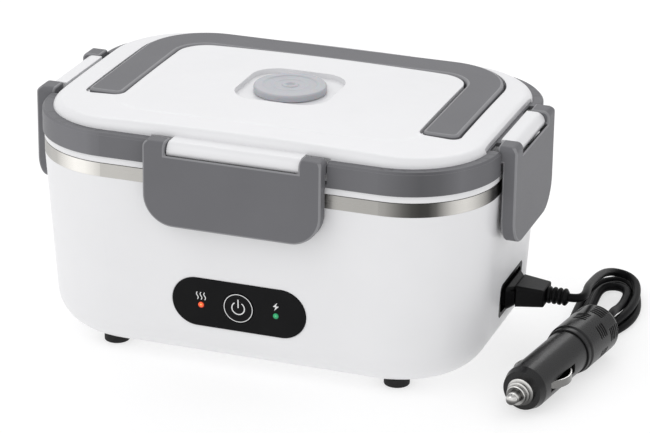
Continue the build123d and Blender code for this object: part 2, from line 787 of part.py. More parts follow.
with BuildPart() as lid:
    with BuildSketch(Plane.XY.offset(z_skirt)):
        outline(casing_inset)
    extrude(amount=skirt_height)
    with BuildSketch(Plane.XY.offset(z_band)):
        outline(band_wall)
    extrude(amount=lid_band_height - band_ledge_height)
    with BuildPart(mode=Mode.PRIVATE) as dome:
        with BuildSketch(Plane.XY.offset(z_skirt)):
            outline(band_ledge)
        extrude(amount=z_crown - z_skirt)
        with Locations((0, 0, z_crown - crown_radius)):
            Sphere(crown_radius, mode=Mode.INTERSECT)
        fillet(dome.faces().sort_by(Axis.Z)[-1].edges(), lid_shoulder)
    add(dome.part)
    add(lid_cavity(z_skirt, z_lid_screw_boss, False, False), mode=Mode.SUBTRACT)
    add(lid_cavity(z_lid_screw_boss, recess_floor - recess_wall, True, False), mode=Mode.SUBTRACT)
    add(lid_cavity(recess_floor - recess_wall, z_ceiling, True, True), mode=Mode.SUBTRACT)
    # handle recess
    with BuildSketch(Plane.XY.offset(recess_floor)) as recess_plan:
        handle_outline(handle_gap, handle_front_gap)
        fillet(arm_corners(recess_plan), handle_end_corner + handle_gap)
    extrude(amount=z_crown - recess_floor, mode=Mode.SUBTRACT)
    # finger recess of the steam valve, and the vent under it
    with BuildSketch(Plane.XY.offset(z_crown - valve_recess_depth)):
        with Locations((valve_x, 0)):
            RectangleRounded(valve_recess, valve_recess, valve_recess_corner)
    extrude(amount=valve_recess_depth, mode=Mode.SUBTRACT)
    with BuildSketch(Plane.XY.offset(z_lid_screw_boss)):
        with Locations((valve_x, 0)):
            Circle(valve_stem_radius + valve_stem_gap)
        with Locations(*lid_boss_places):
            Circle(lid_screw_radius)
    extrude(amount=lid_screw_bite, mode=Mode.SUBTRACT)
    with BuildSketch(Plane.XY.offset(z_lid_screw_boss)):
        with Locations((valve_x, 0)):
            Circle(valve_stem_radius + valve_stem_gap)
    extrude(amount=z_crown - z_lid_screw_boss, mode=Mode.SUBTRACT)
    # bores for the handle's pins
    for side in (-1, 1):
        arm_middle = side * (handle_half - handle_arm / 2)
        with BuildSketch(Plane.YZ.offset(arm_middle - handle_pin_length / 2)):
            with Locations((handle_pin_y, handle_pin_z)):
                Circle(handle_pin_radius)
        extrude(amount=handle_pin_length, mode=Mode.SUBTRACT)
    # straight edges beside the latches, hinge bars, and pockets for the latches' ears
    for side_name, (half_width, _, face, turn) in latches.items():
        raised_back = band_ledge + bar_merge
        if side_name in notched:
            raised_back = hinge_bar_inset
            strip = ledge_notch(half_width, face, -latch_proud, z_crown)
            add(strip.rotate(Axis.Z, turn), mode=Mode.SUBTRACT)
        with BuildPart(mode=Mode.PRIVATE) as hinge_bar:
            add(hinge_bar_block(half_width, face, raised_back, web_back))
            add(bar_along_x(half_width, latch_pin_radius, -face - hinge_out, hinge_z), mode=Mode.SUBTRACT)
        add(hinge_bar.part.rotate(Axis.Z, turn))
        for pocket in ear_pockets(half_width, face):
            add(pocket.rotate(Axis.Z, turn), mode=Mode.SUBTRACT)
save(lid.part, "lid_shell")

with BuildPart() as lid_band:
    with BuildSketch(Plane.XY.offset(z_band)):
        outline(0)
    extrude(amount=lid_band_height)
    chamfer(lid_band.edges().group_by(Axis.Z)[-1], band_edge)
    with BuildSketch(Plane.XY.offset(z_band)):
        outline(band_wall)
    extrude(amount=lid_band_height - band_ledge_height, mode=Mode.SUBTRACT)
    with BuildSketch(Plane.XY.offset(z_band)):
        outline(band_ledge)
    extrude(amount=lid_band_height, mode=Mode.SUBTRACT)
    for side_name, (half_width, _, face, turn) in latches.items():
        raised_back = band_ledge + bar_merge
        if side_name in notched:
            raised_back = hinge_bar_inset
            add(ledge_notch(half_width, face, band_ledge, z_band_top).rotate(Axis.Z, turn))
        bar_notch = hinge_bar_block(half_width, face, raised_back, lid_wall)
        add(bar_notch.rotate(Axis.Z, turn), mode=Mode.SUBTRACT)
        for pocket in ear_pockets(half_width, face):
            add(pocket.rotate(Axis.Z, turn), mode=Mode.SUBTRACT)
save(lid_band.part, "lid_band")

gasket_outer = lid_wall + lift_gap
gasket_width = 3.0
gasket_gap = 0.2             # gasket's underside above the tray's rim
liner_pan = 12.5             # inset of the shallow pan in the lid liner
z_gasket = z_parting + gasket_gap
with BuildPart() as gasket:
    with BuildSketch(Plane.XY.offset(z_gasket)):
        outline(gasket_outer)
    extrude(amount=z_lid_liner - z_gasket)
    with BuildSketch(Plane.XY.offset(z_gasket)):
        outline(gasket_outer + gasket_width)
    extrude(amount=z_lid_liner - z_gasket, mode=Mode.SUBTRACT)
save(gasket.part, "lid_gasket")

with BuildPart() as lid_liner:
    with BuildSketch(Plane.XY.offset(z_lid_liner)):
        outline(lid_wall + seat_gap)
    extrude(amount=liner_plate)
    with BuildSketch(Plane.XY.offset(z_gasket)):
        outline(liner_pan)
    extrude(amount=z_lid_liner - z_gasket)
    with BuildSketch(Plane.XY.offset(z_gasket)):
        with Locations((valve_x, 0)):
            Circle(valve_stem_radius + valve_stem_gap)
        with Locations(*lid_boss_places):
            Circle(lid_screw_radius)
    extrude(amount=z_lid_screw_boss - z_gasket, mode=Mode.SUBTRACT)
    with BuildSketch(Plane.XY.offset(z_gasket)):
        with Locations(*lid_boss_places):
            Circle(lid_screw_head + seat_gap)
    extrude(amount=lid_screw_head_height, mode=Mode.SUBTRACT)
save(lid_liner.part, "lid_liner")

with BuildPart() as lid_screws:
    with BuildSketch(Plane.XY.offset(z_gasket)):
        with Locations(*lid_boss_places):
            Circle(lid_screw_head)
    extrude(amount=lid_screw_head_height)
    with BuildSketch(Plane.XY.offset(z_gasket)):
        with Locations(*lid_boss_places):
            Circle(lid_screw_radius)
    extrude(amount=z_lid_screw_boss - z_gasket + lid_screw_bite)
save(lid_screws.part, "lid_screws")

# ---------------------------------------------------------------- steam valve
valve_height = 3.6
valve_seat_gap = 0.1
valve_stem_reach = 6.0
valve_edge = 0.7
valve_dish = 0.5
valve_dish_radius = 11.0
valve_button_radius = 3.0
z_valve = z_crown - valve_recess_depth + valve_seat_gap
with BuildPart() as valve:
    with BuildSketch(Plane.XY.offset(z_valve)):
        with Locations((valve_x, 0)):
            Circle(valve_radius)
    extrude(amount=valve_height)
    fillet(valve.edges().group_by(Axis.Z)[-1], valve_edge)
    with BuildSketch(Plane.XY.offset(z_valve + valve_height - valve_dish)):
        with Locations((valve_x, 0)):
            Circle(valve_dish_radius)
            Circle(valve_button_radius, mode=Mode.SUBTRACT)
    extrude(amount=valve_dish, mode=Mode.SUBTRACT)
    with BuildSketch(Plane.XY.offset(z_valve - valve_stem_reach)):
        with Locations((valve_x, 0)):
            Circle(valve_stem_radius)
    extrude(amount=valve_stem_reach)
save(valve.part, "steam_valve")

# ---------------------------------------------------------------- latches and their pins
pin_end_gap = 1.5            # from the latch's side to the end of its pin
flap_drop = 1.0              # flap's top edge below the pin axis, between the ears
ear_back_corner = 2.0
for side_name, (half_width, bottom, face, turn) in latches.items():
    outer = face + latch_proud
    plate_in = outer - latch_plate
    rim_in = face + latch_back_gap
    ear_in = face + hinge_out - ear_wrap
    ear_inner = half_width - ear_width
    top = hinge_z + (back_ear_rise if side_name == "back" else ear_rise)
    ear_foot = hinge_z - ear_wrap
    with BuildPart() as latch:
        with BuildSketch(Plane.YZ.offset(-half_width)) as profile:
            with BuildLine():
                Polyline(
                    (-outer, bottom),
                    (-outer, top),
                    (-ear_in, top),
                    (-ear_in, ear_foot),
                    (-rim_in, ear_foot),
                    (-rim_in, bottom),
                    close=True,
                )
            make_face()
            upper = profile.vertices().group_by(Axis.Y)[-1].sort_by(Axis.X)
            fillet(upper[0], ear_nose)
            fillet(upper[-1], ear_back_corner)
            fillet(profile.vertices().group_by(Axis.X)[-1].sort_by(Axis.Y)[0], ear_back_corner)
        extrude(amount=2 * half_width)
        with BuildSketch(Plane.XZ.offset(ear_in)) as front_view:
            with Locations((0, (bottom + top) / 2)):
                Rectangle(2 * half_width, top - bottom)
            fillet(front_view.vertices().group_by(Axis.Y)[0], latch_corner)
            fillet(front_view.vertices().group_by(Axis.Y)[-1], latch_top_corner)
        extrude(amount=outer - ear_in, mode=Mode.INTERSECT)
        # window between the ears, above the flap
        with BuildSketch(Plane.XZ.offset(ear_in)):
            with Locations((0, hinge_z - flap_drop + top / 2)):
                Rectangle(2 * ear_inner, top)
        extrude(amount=outer - ear_in, mode=Mode.SUBTRACT)
        # hollow back
        with BuildSketch(Plane.XZ.offset(ear_in)) as hollow:
            hollow_height = ear_foot - latch_rim - bottom - latch_rim
            with Locations((0, bottom + latch_rim + hollow_height / 2)):
                Rectangle(2 * (half_width - latch_rim), hollow_height)
            fillet(hollow.vertices().group_by(Axis.Y)[0], latch_corner - latch_rim)
        extrude(amount=plate_in - ear_in, mode=Mode.SUBTRACT)
        # room for the hinge bar between the ears
        room_height = ear_foot - bottom
        with BuildSketch(Plane.XZ.offset(ear_in)):
            with Locations((0, hinge_z - room_height / 4)):
                Rectangle(2 * ear_inner, room_height / 2)
        extrude(amount=plate_in - ear_in, mode=Mode.SUBTRACT)
        bar_room = hinge_bar_radius + flap_gap
        add(bar_along_x(ear_inner, bar_room, -face - hinge_out, hinge_z), mode=Mode.SUBTRACT)
        # hook under the catch bead
        hook_half = (catch_half if half_width == front_latch_half else catch_side_half) - hook_gap
        hook_top = catch_z - hook_gap
        hook_in = face + catch_reach + hook_gap
        with BuildSketch(Plane.YZ.offset(-hook_half)):
            with BuildLine():
                Polyline(
                    (-plate_in, hook_top),
                    (-hook_in, hook_top),
                    (-hook_in, hook_top - hook_height / 2),
                    (-plate_in, hook_top - hook_height),
                    close=True,
                )
            make_face()
        extrude(amount=2 * hook_half)
        pin_half = half_width - pin_end_gap
        add(
            bar_along_x(pin_half, latch_pin_radius + pin_clearance, -face - hinge_out, hinge_z),
            mode=Mode.SUBTRACT,
        )
    save(latch.part.rotate(Axis.Z, turn), f"latch_{side_name}")
    pin = bar_along_x(pin_half - pin_clearance, latch_pin_radius, -face - hinge_out, hinge_z)
    save(pin.rotate(Axis.Z, turn), f"latch_pin_{side_name}")

# ---------------------------------------------------------------- cord connector in the inlet
nose_gap_width = 4.0         # connector's nose to each side of the inlet's cavity
nose_gap_height = 2.5
block_width = 26.0
block_height = 11.6
block_corner = 2.0
block_thickness = 3.4
block_proud = 1.0            # block's back face outside the casing wall
nose_width = inlet_width - 2 * inlet_wall - 2 * nose_gap_width
nose_height = inlet_height - 2 * inlet_wall - 2 * nose_gap_height
nose_reach = 9.0
body_width = 13.5
body_height = 8.4
body_length = 13.5
body_edge = 1.0
shoulder_width = 2.0         # block's front face beyond each side of the body
shoulder_height = 0.5
relief_length = 10.0
relief_radius = 4.1
relief_ribs = 4
cable_radius = 2.0
socket_radius = 1.9
block_x = inlet_face + block_proud
body_x = block_x + block_thickness
relief_x = body_x + body_length
cable_x = relief_x + relief_length
contact_fit = 0.1            # contact pin in its sleeve
nose_x = block_x - nose_reach
with BuildPart() as connector:
    with BuildSketch(Plane.YZ.offset(nose_x)):
        with Locations((inlet_y, inlet_z)):
            RectangleRounded(nose_width, nose_height, block_corner)
    extrude(amount=nose_reach)
    with BuildSketch(Plane.YZ.offset(block_x)):
        with Locations((inlet_y, inlet_z)):
            RectangleRounded(block_width, block_height, block_corner)
    with BuildSketch(Plane.YZ.offset(body_x)):
        with Locations((inlet_y, inlet_z)):
            RectangleRounded(
                body_width + 2 * shoulder_width, body_height + 2 * shoulder_height, block_corner
            )
    loft()
    with BuildSketch(Plane.YZ.offset(body_x)):
        with Locations((inlet_y, inlet_z)):
            RectangleRounded(body_width, body_height, body_edge)
    extrude(amount=body_length)
    with BuildSketch(Plane.YZ.offset(nose_x)):
        with Locations((inlet_y, inlet_z)):
            with GridLocations(contact_pitch, 0, 2, 1):
                Circle(socket_radius)
    extrude(amount=nose_reach, mode=Mode.SUBTRACT)
save(connector.part, "cord_connector")

with BuildPart() as sleeves:
    with BuildSketch(Plane.YZ.offset(nose_x)):
        with Locations((inlet_y, inlet_z)):
            with GridLocations(contact_pitch, 0, 2, 1):
                Circle(socket_radius)
                Circle(contact_radius + contact_fit, mode=Mode.SUBTRACT)
    extrude(amount=nose_reach)
save(sleeves.part, "connector_sleeves")

relief_groove = 1.1
relief_core = relief_radius - relief_groove
rib_pitch = relief_length / relief_ribs
rib_share = 0.6              # rib's length over its pitch
with BuildPart() as relief:
    with BuildSketch(Plane.YZ.offset(relief_x)):
        with Locations((inlet_y, inlet_z)):
            Circle(relief_core)
    extrude(amount=relief_length)
    for rib in range(relief_ribs):
        with BuildSketch(Plane.YZ.offset(relief_x + rib * rib_pitch)):
            with Locations((inlet_y, inlet_z)):
                Circle(relief_radius)
        extrude(amount=rib_pitch * rib_share)
save(relief.part, "cord_strain_relief")

# ---------------------------------------------------------------- car plug, lying on the table
plug_turn = 11.0             # plug's axis, from +Y towards +X
plug_body_radius = 10.4
plug_collar_radius = 11.8
plug_nose_radius = 9.2
tip_radius = 2.8
tip_bore_gap = 0.1
ring_radius = 6.4
ring_front_radius = 4.6
ring_start = 6.0             # distances along the plug, from the end of its tip
nose_start = 12.0
body_start = 16.0
collar_start = 58.0
collar_end = 90.0
plug_relief_length = 8.0
plug_relief_radius = 4.6
plug_relief_end = 0.8        # its thin end round the cable
table_gap = 0.05             # plug's lowest line above the table
# the plug rests on its body's front edge and its collar's front edge
plug_tilt = degrees(asin((plug_collar_radius - plug_body_radius) / (collar_start - body_start)))
tip_height = plug_body_radius + table_gap - body_start * sin(radians(plug_tilt))
plug_tip_x = 128.8
plug_tip_y = -71.5
tip_origin = (plug_tip_x, plug_tip_y, tip_height)
plug_axis = Vector(
    sin(radians(plug_turn)) * cos(radians(plug_tilt)),
    cos(radians(plug_turn)) * cos(radians(plug_tilt)),
    sin(radians(plug_tilt)),
)
plug_plane = Plane(
    origin=tip_origin, x_dir=(cos(radians(plug_turn)), -sin(radians(plug_turn)), 0), z_dir=plug_axis
)
fuse_radius = 3.1
fuse_length = 30.0
fuse_start = 24.0
tip_flange_radius = 3.9
tip_flange_setback = 0.4     # flange behind the nose ring's front
tip_flange_thickness = 1.2
tip_flange_start = nose_start + tip_flange_setback
tip_flange_end = tip_flange_start + tip_flange_thickness
plug_bore = tip_flange_radius + lift_gap
spring_wall = 0.8


def along_plug(start):
    """Plane across the car plug at a distance from the end of its tip."""
    return plug_plane.offset(start)


contact_width = 3.8
contact_thickness = 0.6
contact_start = 22.0
contact_end = 44.0
contact_bulge = 3.0          # out of the plug's body at rest
contact_slot = 4.6           # depth of the slot that it springs into
contact_slot_end = 1.0       # slot beyond each end of the contact
with BuildPart() as plug_body:
    with BuildSketch(along_plug(nose_start)):
        Circle(plug_nose_radius)
    with BuildSketch(along_plug(body_start)):
        Circle(plug_body_radius)
    loft()
    with BuildSketch(along_plug(body_start)):
        Circle(plug_body_radius)
    extrude(amount=collar_start - body_start)
    with BuildSketch(along_plug(nose_start)):
        Circle(plug_bore)
    extrude(amount=collar_start - nose_start, mode=Mode.SUBTRACT)
    # slots for the side contacts
    for side in (-1, 1):
        with BuildSketch(along_plug(contact_start - contact_slot_end)):
            with Locations((side * (plug_body_radius + far / 2 - contact_slot), 0)):
                Rectangle(far, contact_width + 2 * lift_gap)
        extrude(amount=contact_end - contact_start + 2 * contact_slot_end, mode=Mode.SUBTRACT)
save(plug_body.part, "car_plug_body")

collar_edge = 2.0
collar_lip = 0.6             # front of the collar, smaller than its grip
collar_lip_length = 3.0
with BuildPart() as collar:
    with BuildSketch(along_plug(collar_start)):
        Circle(plug_collar_radius - collar_lip)
    extrude(amount=collar_lip_length)
    with BuildSketch(along_plug(collar_start + collar_lip_length)):
        Circle(plug_collar_radius)
    extrude(amount=collar_end - collar_start - collar_lip_length)
    fillet(collar.edges().sort_by(Axis(tip_origin, plug_axis))[-1], collar_edge)
save(collar.part, "car_plug_collar")

with BuildPart() as nose_ring:
    with BuildSketch(along_plug(ring_start)):
        Circle(ring_front_radius)
    with BuildSketch(along_plug(nose_start)):
        Circle(ring_radius)
    loft()
    with BuildSketch(along_plug(ring_start)):
        Circle(tip_radius + tip_bore_gap)
    extrude(amount=nose_start - ring_start, mode=Mode.SUBTRACT)
save(nose_ring.part, "plug_nose_ring")

with BuildPart() as plug_tip:
    with BuildSketch(along_plug(0)):
        Circle(tip_radius)
    extrude(amount=tip_flange_start)
    fillet(plug_tip.edges().sort_by(Axis(tip_origin, plug_axis))[0], tip_radius / 2)
    with BuildSketch(along_plug(tip_flange_start)):
        Circle(tip_flange_radius)
    extrude(amount=tip_flange_end - tip_flange_start)
save(plug_tip.part, "plug_tip")

with BuildPart() as tip_spring:
    with BuildSketch(along_plug(tip_flange_end)):
        Circle(fuse_radius)
        Circle(fuse_radius - spring_wall, mode=Mode.SUBTRACT)
    extrude(amount=fuse_start - tip_flange_end)
save(tip_spring.part, "tip_spring")

with BuildPart() as fuse:
    with BuildSketch(along_plug(fuse_start)):
        Circle(fuse_radius)
    extrude(amount=fuse_length)
save(fuse.part, "plug_fuse")

with BuildPart() as carrier:
    with BuildSketch(along_plug(fuse_start + fuse_length)):
        Circle(plug_bore)
    extrude(amount=collar_start - fuse_start - fuse_length)
save(carrier.part, "fuse_contact")

contact_middle = (contact_start + contact_end) / 2
contact_root = plug_body_radius - contact_slot
for contact_name, side in (("side_contact_left", -1), ("side_contact_right", 1)):
    contact_plane = Plane(origin=tip_origin, x_dir=plug_axis, z_dir=plug_plane.y_dir)
    # in this plane X runs along the plug, and Y points to the side where the outline bows out
    outward = side * (1 if contact_plane.y_dir.dot(plug_plane.x_dir) > 0 else -1)
    with BuildPart() as contact:
        with BuildSketch(contact_plane.offset(-contact_width / 2)):
            with BuildLine():
                outer_top = outward * (plug_body_radius + contact_bulge)
                inner_top = outward * (plug_body_radius + contact_bulge - contact_thickness)
                foot_line = outward * contact_root
                outer_arc = ThreePointArc(
                    (contact_start, foot_line), (contact_middle, outer_top), (contact_end, foot_line)
                )
                inner_arc = ThreePointArc(
                    (contact_start + contact_thickness, foot_line),
                    (contact_middle, inner_top),
                    (contact_end - contact_thickness, foot_line),
                )
                Line(outer_arc @ 0, inner_arc @ 0)
                Line(outer_arc @ 1, inner_arc @ 1)
            make_face()
        extrude(amount=contact_width)
    save(contact.part, contact_name)

with BuildPart() as plug_relief:
    with BuildSketch(along_plug(collar_end)):
        Circle(plug_relief_radius)
    with BuildSketch(along_plug(collar_end + plug_relief_length)):
        Circle(cable_radius + plug_relief_end)
    loft()
save(plug_relief.part, "plug_strain_relief")

# ---------------------------------------------------------------- cable: two free ends and the hank
hank_centre = (139.3, 65.0)
hank_turn = 2.0              # hank's long axis, anticlockwise from +Y
hank_length = 76.0
hank_width = 31.5
hank_hole_length = 36.0
hank_hole_width = 7.0
hank_height = 9.6
hank_edge = 3.0
with BuildPart() as hank:
    hank_plane = Plane(
        origin=(*hank_centre, 0),
        x_dir=(-sin(radians(hank_turn)), cos(radians(hank_turn)), 0),
        z_dir=(0, 0, 1),
    )
    with BuildSketch(hank_plane):
        SlotOverall(hank_length, hank_width)
        SlotOverall(hank_hole_length, hank_hole_width, mode=Mode.SUBTRACT)
    extrude(amount=hank_height)
    fillet(hank.edges().group_by(Axis.Z)[-1], hank_edge)
    fillet(hank.edges().group_by(Axis.Z)[0], hank_edge)
save(hank.part, "cable_hank")

plug_end = along_plug(collar_end + plug_relief_length).origin
# from the strain relief, round towards the back and down onto the hank
lead_points = [
    (cable_x, inlet_y, inlet_z),
    (cable_x + 4.2, inlet_y, inlet_z),
    (cable_x + 7.0, inlet_y + 3.4, inlet_z - 0.1),
    (cable_x + 6.9, inlet_y + 10.0, inlet_z - 0.5),
    (cable_x + 4.9, inlet_y + 19.6, inlet_z - 2.0),
    (cable_x + 2.7, inlet_y + 33.0, inlet_z - 5.4),
    (cable_x + 0.9, inlet_y + 48.0, inlet_z - 10.4),
    (cable_x - 0.8, inlet_y + 63.5, inlet_z - 16.6),
    (cable_x - 1.4, inlet_y + 77.0, inlet_z - 22.6),
]
# from the plug back and down onto the hank
tail_points = [
    (plug_end.X, plug_end.Y, plug_end.Z),
    (plug_end.X + 1.2, plug_end.Y + 6.2, plug_end.Z + 0.2),
    (plug_end.X + 1.2, plug_end.Y + 13.2, plug_end.Z - 1.0),
    (plug_end.X + 0.4, plug_end.Y + 20.6, plug_end.Z - 3.2),
    (plug_end.X - 0.4, plug_end.Y + 28.6, plug_end.Z - 6.4),
]
run_share = 0.45


def corner_radii(points):
    """Arc radius at each inner point: 0.45 of its shorter run, over the tangent of half the turn."""
    radii = []
    for before, here, after in zip(points, points[1:], points[2:]):
        run_in = Vector(*here) - Vector(*before)
        run_out = Vector(*after) - Vector(*here)
        turn = run_in.get_angle(run_out)
        radii.append(run_share * min(run_in.length, run_out.length) / tan(radians(turn / 2)))
    return radii


for cable_name, points in (("cable_lead", lead_points), ("cable_tail", tail_points)):
    radii = corner_radii(points)
    with BuildPart() as cable:
        with BuildLine() as route:
            FilletPolyline(*points, radius=radii)
        with BuildSketch(Plane(origin=points[0], z_dir=route.line % 0)):
            Circle(cable_radius)
        sweep(path=route.line)
    length = route.wire().length
    print(cable_name, "radii", [round(r, 1) for r in radii], "length", round(length, 1))
    print("  volume over section x length", round(cable.part.volume / (pi * cable_radius**2) / length, 4))
    save(cable.part, cable_name)
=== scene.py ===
import math

import bmesh
import bpy
from mathutils import Matrix, Vector


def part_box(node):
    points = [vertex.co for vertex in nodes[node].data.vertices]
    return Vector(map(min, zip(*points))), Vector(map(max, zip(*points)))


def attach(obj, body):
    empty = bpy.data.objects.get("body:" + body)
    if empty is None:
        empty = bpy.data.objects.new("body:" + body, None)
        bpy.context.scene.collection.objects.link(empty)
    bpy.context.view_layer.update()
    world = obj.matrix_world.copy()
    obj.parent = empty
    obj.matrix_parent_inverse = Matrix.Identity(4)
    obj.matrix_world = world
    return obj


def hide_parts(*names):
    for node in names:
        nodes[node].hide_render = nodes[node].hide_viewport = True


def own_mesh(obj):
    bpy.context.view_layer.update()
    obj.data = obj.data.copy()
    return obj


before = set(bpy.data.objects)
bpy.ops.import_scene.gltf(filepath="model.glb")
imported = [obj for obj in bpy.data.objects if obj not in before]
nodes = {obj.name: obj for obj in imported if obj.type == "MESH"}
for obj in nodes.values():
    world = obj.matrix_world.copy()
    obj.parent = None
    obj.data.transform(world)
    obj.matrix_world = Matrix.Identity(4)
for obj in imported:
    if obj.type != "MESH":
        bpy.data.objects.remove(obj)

# Electric lunch box with its car cord. The scene is in metres, the front is -Y and +Z is up.
# Lengths are written in millimetres and turned into metres by MM.
MM = 0.001
scene = bpy.context.scene
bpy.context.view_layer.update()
scene.view_settings.view_transform = "Standard"

# ------------------------------------------------------------------ camera
# fitted to the edges of the box in the photo
CAM_PLACE = (444.58, -1223.94, 569.41)
CAM_AZ = math.radians(19.68)
CAM_EL = math.radians(21.59)
CAM_ROLL = math.radians(0.61)
CAM_LENS = 163.83
CAM_SENSOR = 36
CAM_SHIFT_X, CAM_SHIFT_Y = 0.0280, -0.0022
CAM_NEAR, CAM_FAR = 0.05, 30  # metres

back = Vector((
    math.sin(CAM_AZ) * math.cos(CAM_EL), -math.cos(CAM_AZ) * math.cos(CAM_EL), math.sin(CAM_EL)
))
right = Vector((math.cos(CAM_AZ), math.sin(CAM_AZ), 0))
up = back.cross(right)
cam_x = right * math.cos(CAM_ROLL) + up * math.sin(CAM_ROLL)
cam_y = up * math.cos(CAM_ROLL) - right * math.sin(CAM_ROLL)
camera = bpy.data.objects.new("camera", bpy.data.cameras.new("camera"))
scene.collection.objects.link(camera)
turn = Matrix((cam_x, cam_y, back)).transposed().to_4x4()
camera.matrix_world = Matrix.Translation(Vector(CAM_PLACE) * MM) @ turn
camera.data.sensor_width = CAM_SENSOR
camera.data.lens = CAM_LENS
camera.data.shift_x = CAM_SHIFT_X
camera.data.shift_y = CAM_SHIFT_Y
camera.data.clip_start = CAM_NEAR
camera.data.clip_end = CAM_FAR
scene.camera = camera

# ------------------------------------------------------------------ cord
CABLE_D = 4 * MM
CORD_START = (133.95, 6.0, 30.0)
CORD_EXIT = tuple(v * MM for v in CORD_START)
# from the strain relief along the back of the hank, round three turns and a last small one, to
# the plug
cord_route = [
    CORD_START, (137.4, 6.0, 30.0), (140.2, 9.2, 29.9), (140.0, 16.4, 29.4),
    (138.2, 25.6, 28.0), (136.4, 39.0, 24.6), (134.8, 54.0, 20.8), (133.4, 69.5, 16.6),
    # first turn
    (132.9, 83.4, 12.4), (134.9, 92.4, 9.4), (140.6, 95.4, 7.4), (146.2, 90.6, 6.5),
    (149.6, 80.0, 6.3), (151.6, 68.0, 6.3), (151.6, 55.0, 6.3), (149.8, 43.6, 6.3),
    (147.0, 33.0, 6.3), (142.9, 24.4, 6.0), (136.4, 21.2, 5.0), (130.6, 26.4, 3.4),
    (128.0, 36.8, 2.3), (126.6, 49.0, 2.2), (125.6, 61.0, 2.2), (124.9, 73.0, 2.2),
    # second turn
    (125.3, 84.0, 2.2), (127.9, 93.6, 2.2), (134.2, 99.8, 2.2), (141.2, 98.4, 2.2),
    (146.4, 90.0, 2.2), (150.0, 79.0, 2.2), (153.0, 67.0, 2.2), (153.6, 55.0, 2.2),
    (151.8, 44.6, 2.2), (148.6, 35.4, 2.2), (144.2, 27.6, 2.2), (138.0, 25.0, 2.2),
    (132.6, 31.0, 2.2), (131.0, 43.0, 2.2), (130.2, 56.0, 2.2), (129.4, 68.5, 2.2),
    # third turn
    (129.6, 80.0, 2.2), (131.1, 89.0, 2.2), (136.9, 94.8, 2.2), (142.5, 89.4, 2.2),
    (145.6, 79.4, 2.2), (148.4, 68.0, 2.2), (149.5, 56.0, 2.2), (148.4, 46.0, 2.2),
    (145.4, 36.2, 2.2), (140.3, 31.4, 2.3), (136.3, 35.8, 3.0), (134.8, 45.4, 4.2),
    (133.1, 56.0, 4.7), (132.2, 66.0, 4.8),
    # last turn, small and on top, and the end at the plug
    (132.0, 74.5, 5.6), (134.0, 79.7, 6.3), (139.1, 81.9, 6.4), (144.1, 79.3, 6.4),
    (146.3, 73.0, 6.4), (146.9, 63.0, 6.4), (147.0, 53.0, 7.6),
    (147.6, 44.6, 10.4), (148.2, 36.6, 12.6), (148.6, 30.4, 13.4), (147.5, 24.7, 13.2),
]
cord_curve = bpy.data.curves.new("power_cable", "CURVE")
cord_curve.dimensions = "3D"
spline = cord_curve.splines.new("NURBS")
spline.points.add(len(cord_route) - 1)
for point, place in zip(spline.points, cord_route):
    point.co = (*[v * MM for v in place], 1)
    point.radius = CABLE_D / 2
spline.order_u = 3
spline.use_endpoint_u = True
spline.resolution_u = 8
cord_curve.bevel_depth = 1  # times each point's radius, which the curve's own box also counts
cord_curve.bevel_resolution = 6
cord_curve.use_fill_caps = True
cable = bpy.data.objects.new("power_cable", cord_curve)
scene.collection.objects.link(cable)
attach(cable, "cord")
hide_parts("cable_lead", "cable_hank", "cable_tail")


# ------------------------------------------------------------------ material building
MOTTLE_SCALE = 38.0
GLOSS_SPREAD = 0.06
BEVEL_SAMPLES = 6
EDGE_HIGHLIGHT_TURN = (0.995, 0.90)  # cosine of the turn at which an edge's painted highlight begins and is full
EDGE_HIGHLIGHT_SHARE = 0.8
LID_STEP_HALF_X, LID_STEP_HALF_Y, LID_STEP_HEIGHT = 75, 52.6, 0.25
LID_STEP_SQUARENESS = 6.0
LID_STEP_SLOPE = (0.88, 1.12)
MATS = {}  # every material under its name


def shader(name):
    """A new material, its node tree and its Principled shader."""
    mat = MATS[name] = bpy.data.materials.new(name)
    mat.use_nodes = True
    tree = mat.node_tree
    tree.nodes.clear()
    out = tree.nodes.new("ShaderNodeOutputMaterial")
    bsdf = tree.nodes.new("ShaderNodeBsdfPrincipled")
    tree.links.new(bsdf.outputs["BSDF"], out.inputs["Surface"])
    return mat, tree, bsdf


def noise(tree, scale, detail, stretch=(1, 1, 1)):
    """Noise in the object's own metres, stretched per axis."""
    coord = tree.nodes.new("ShaderNodeTexCoord")
    place = tree.nodes.new("ShaderNodeMapping")
    place.inputs["Scale"].default_value = stretch
    tex = tree.nodes.new("ShaderNodeTexNoise")
    tex.inputs["Scale"].default_value = scale
    tex.inputs["Detail"].default_value = detail
    tree.links.new(coord.outputs["Object"], place.inputs["Vector"])
    tree.links.new(place.outputs["Vector"], tex.inputs["Vector"])
    return tex.outputs["Fac"]


def axes(tree, kind):
    """The X, Y and Z sockets of a texture coordinate."""
    coord = tree.nodes.new("ShaderNodeTexCoord")
    split = tree.nodes.new("ShaderNodeSeparateXYZ")
    tree.links.new(coord.outputs[kind], split.inputs["Vector"])
    return split.outputs


def map_range(tree, value, start, end=(0.0, 1.0), smooth=False):
    """A value moved from one range to another and held at its ends."""
    node = tree.nodes.new("ShaderNodeMapRange")
    if smooth:
        node.interpolation_type = "SMOOTHSTEP"
    for key, number in zip(("From Min", "From Max", "To Min", "To Max"), (*start, *end)):
        node.inputs[key].default_value = number
    tree.links.new(value, node.inputs["Value"])
    return node.outputs["Result"]


def ranged(tree, value, low, high):
    """The middle half of a noise's values spread over low..high."""
    return map_range(tree, value, (0.25, 0.75), (low, high))


def mixed(tree, factor, a, b, blend="MIX"):
    """Two colours mixed; factor and colours are sockets or values."""
    node = tree.nodes.new("ShaderNodeMix")
    node.data_type = "RGBA"
    node.blend_type = blend
    for key, value in (("Factor", factor), ("A", a), ("B", b)):
        if isinstance(value, bpy.types.NodeSocket):
            tree.links.new(value, node.inputs[key])
        else:
            node.inputs[key].default_value = value if key == "Factor" else (*value, 1)
    return node.outputs["Result"]


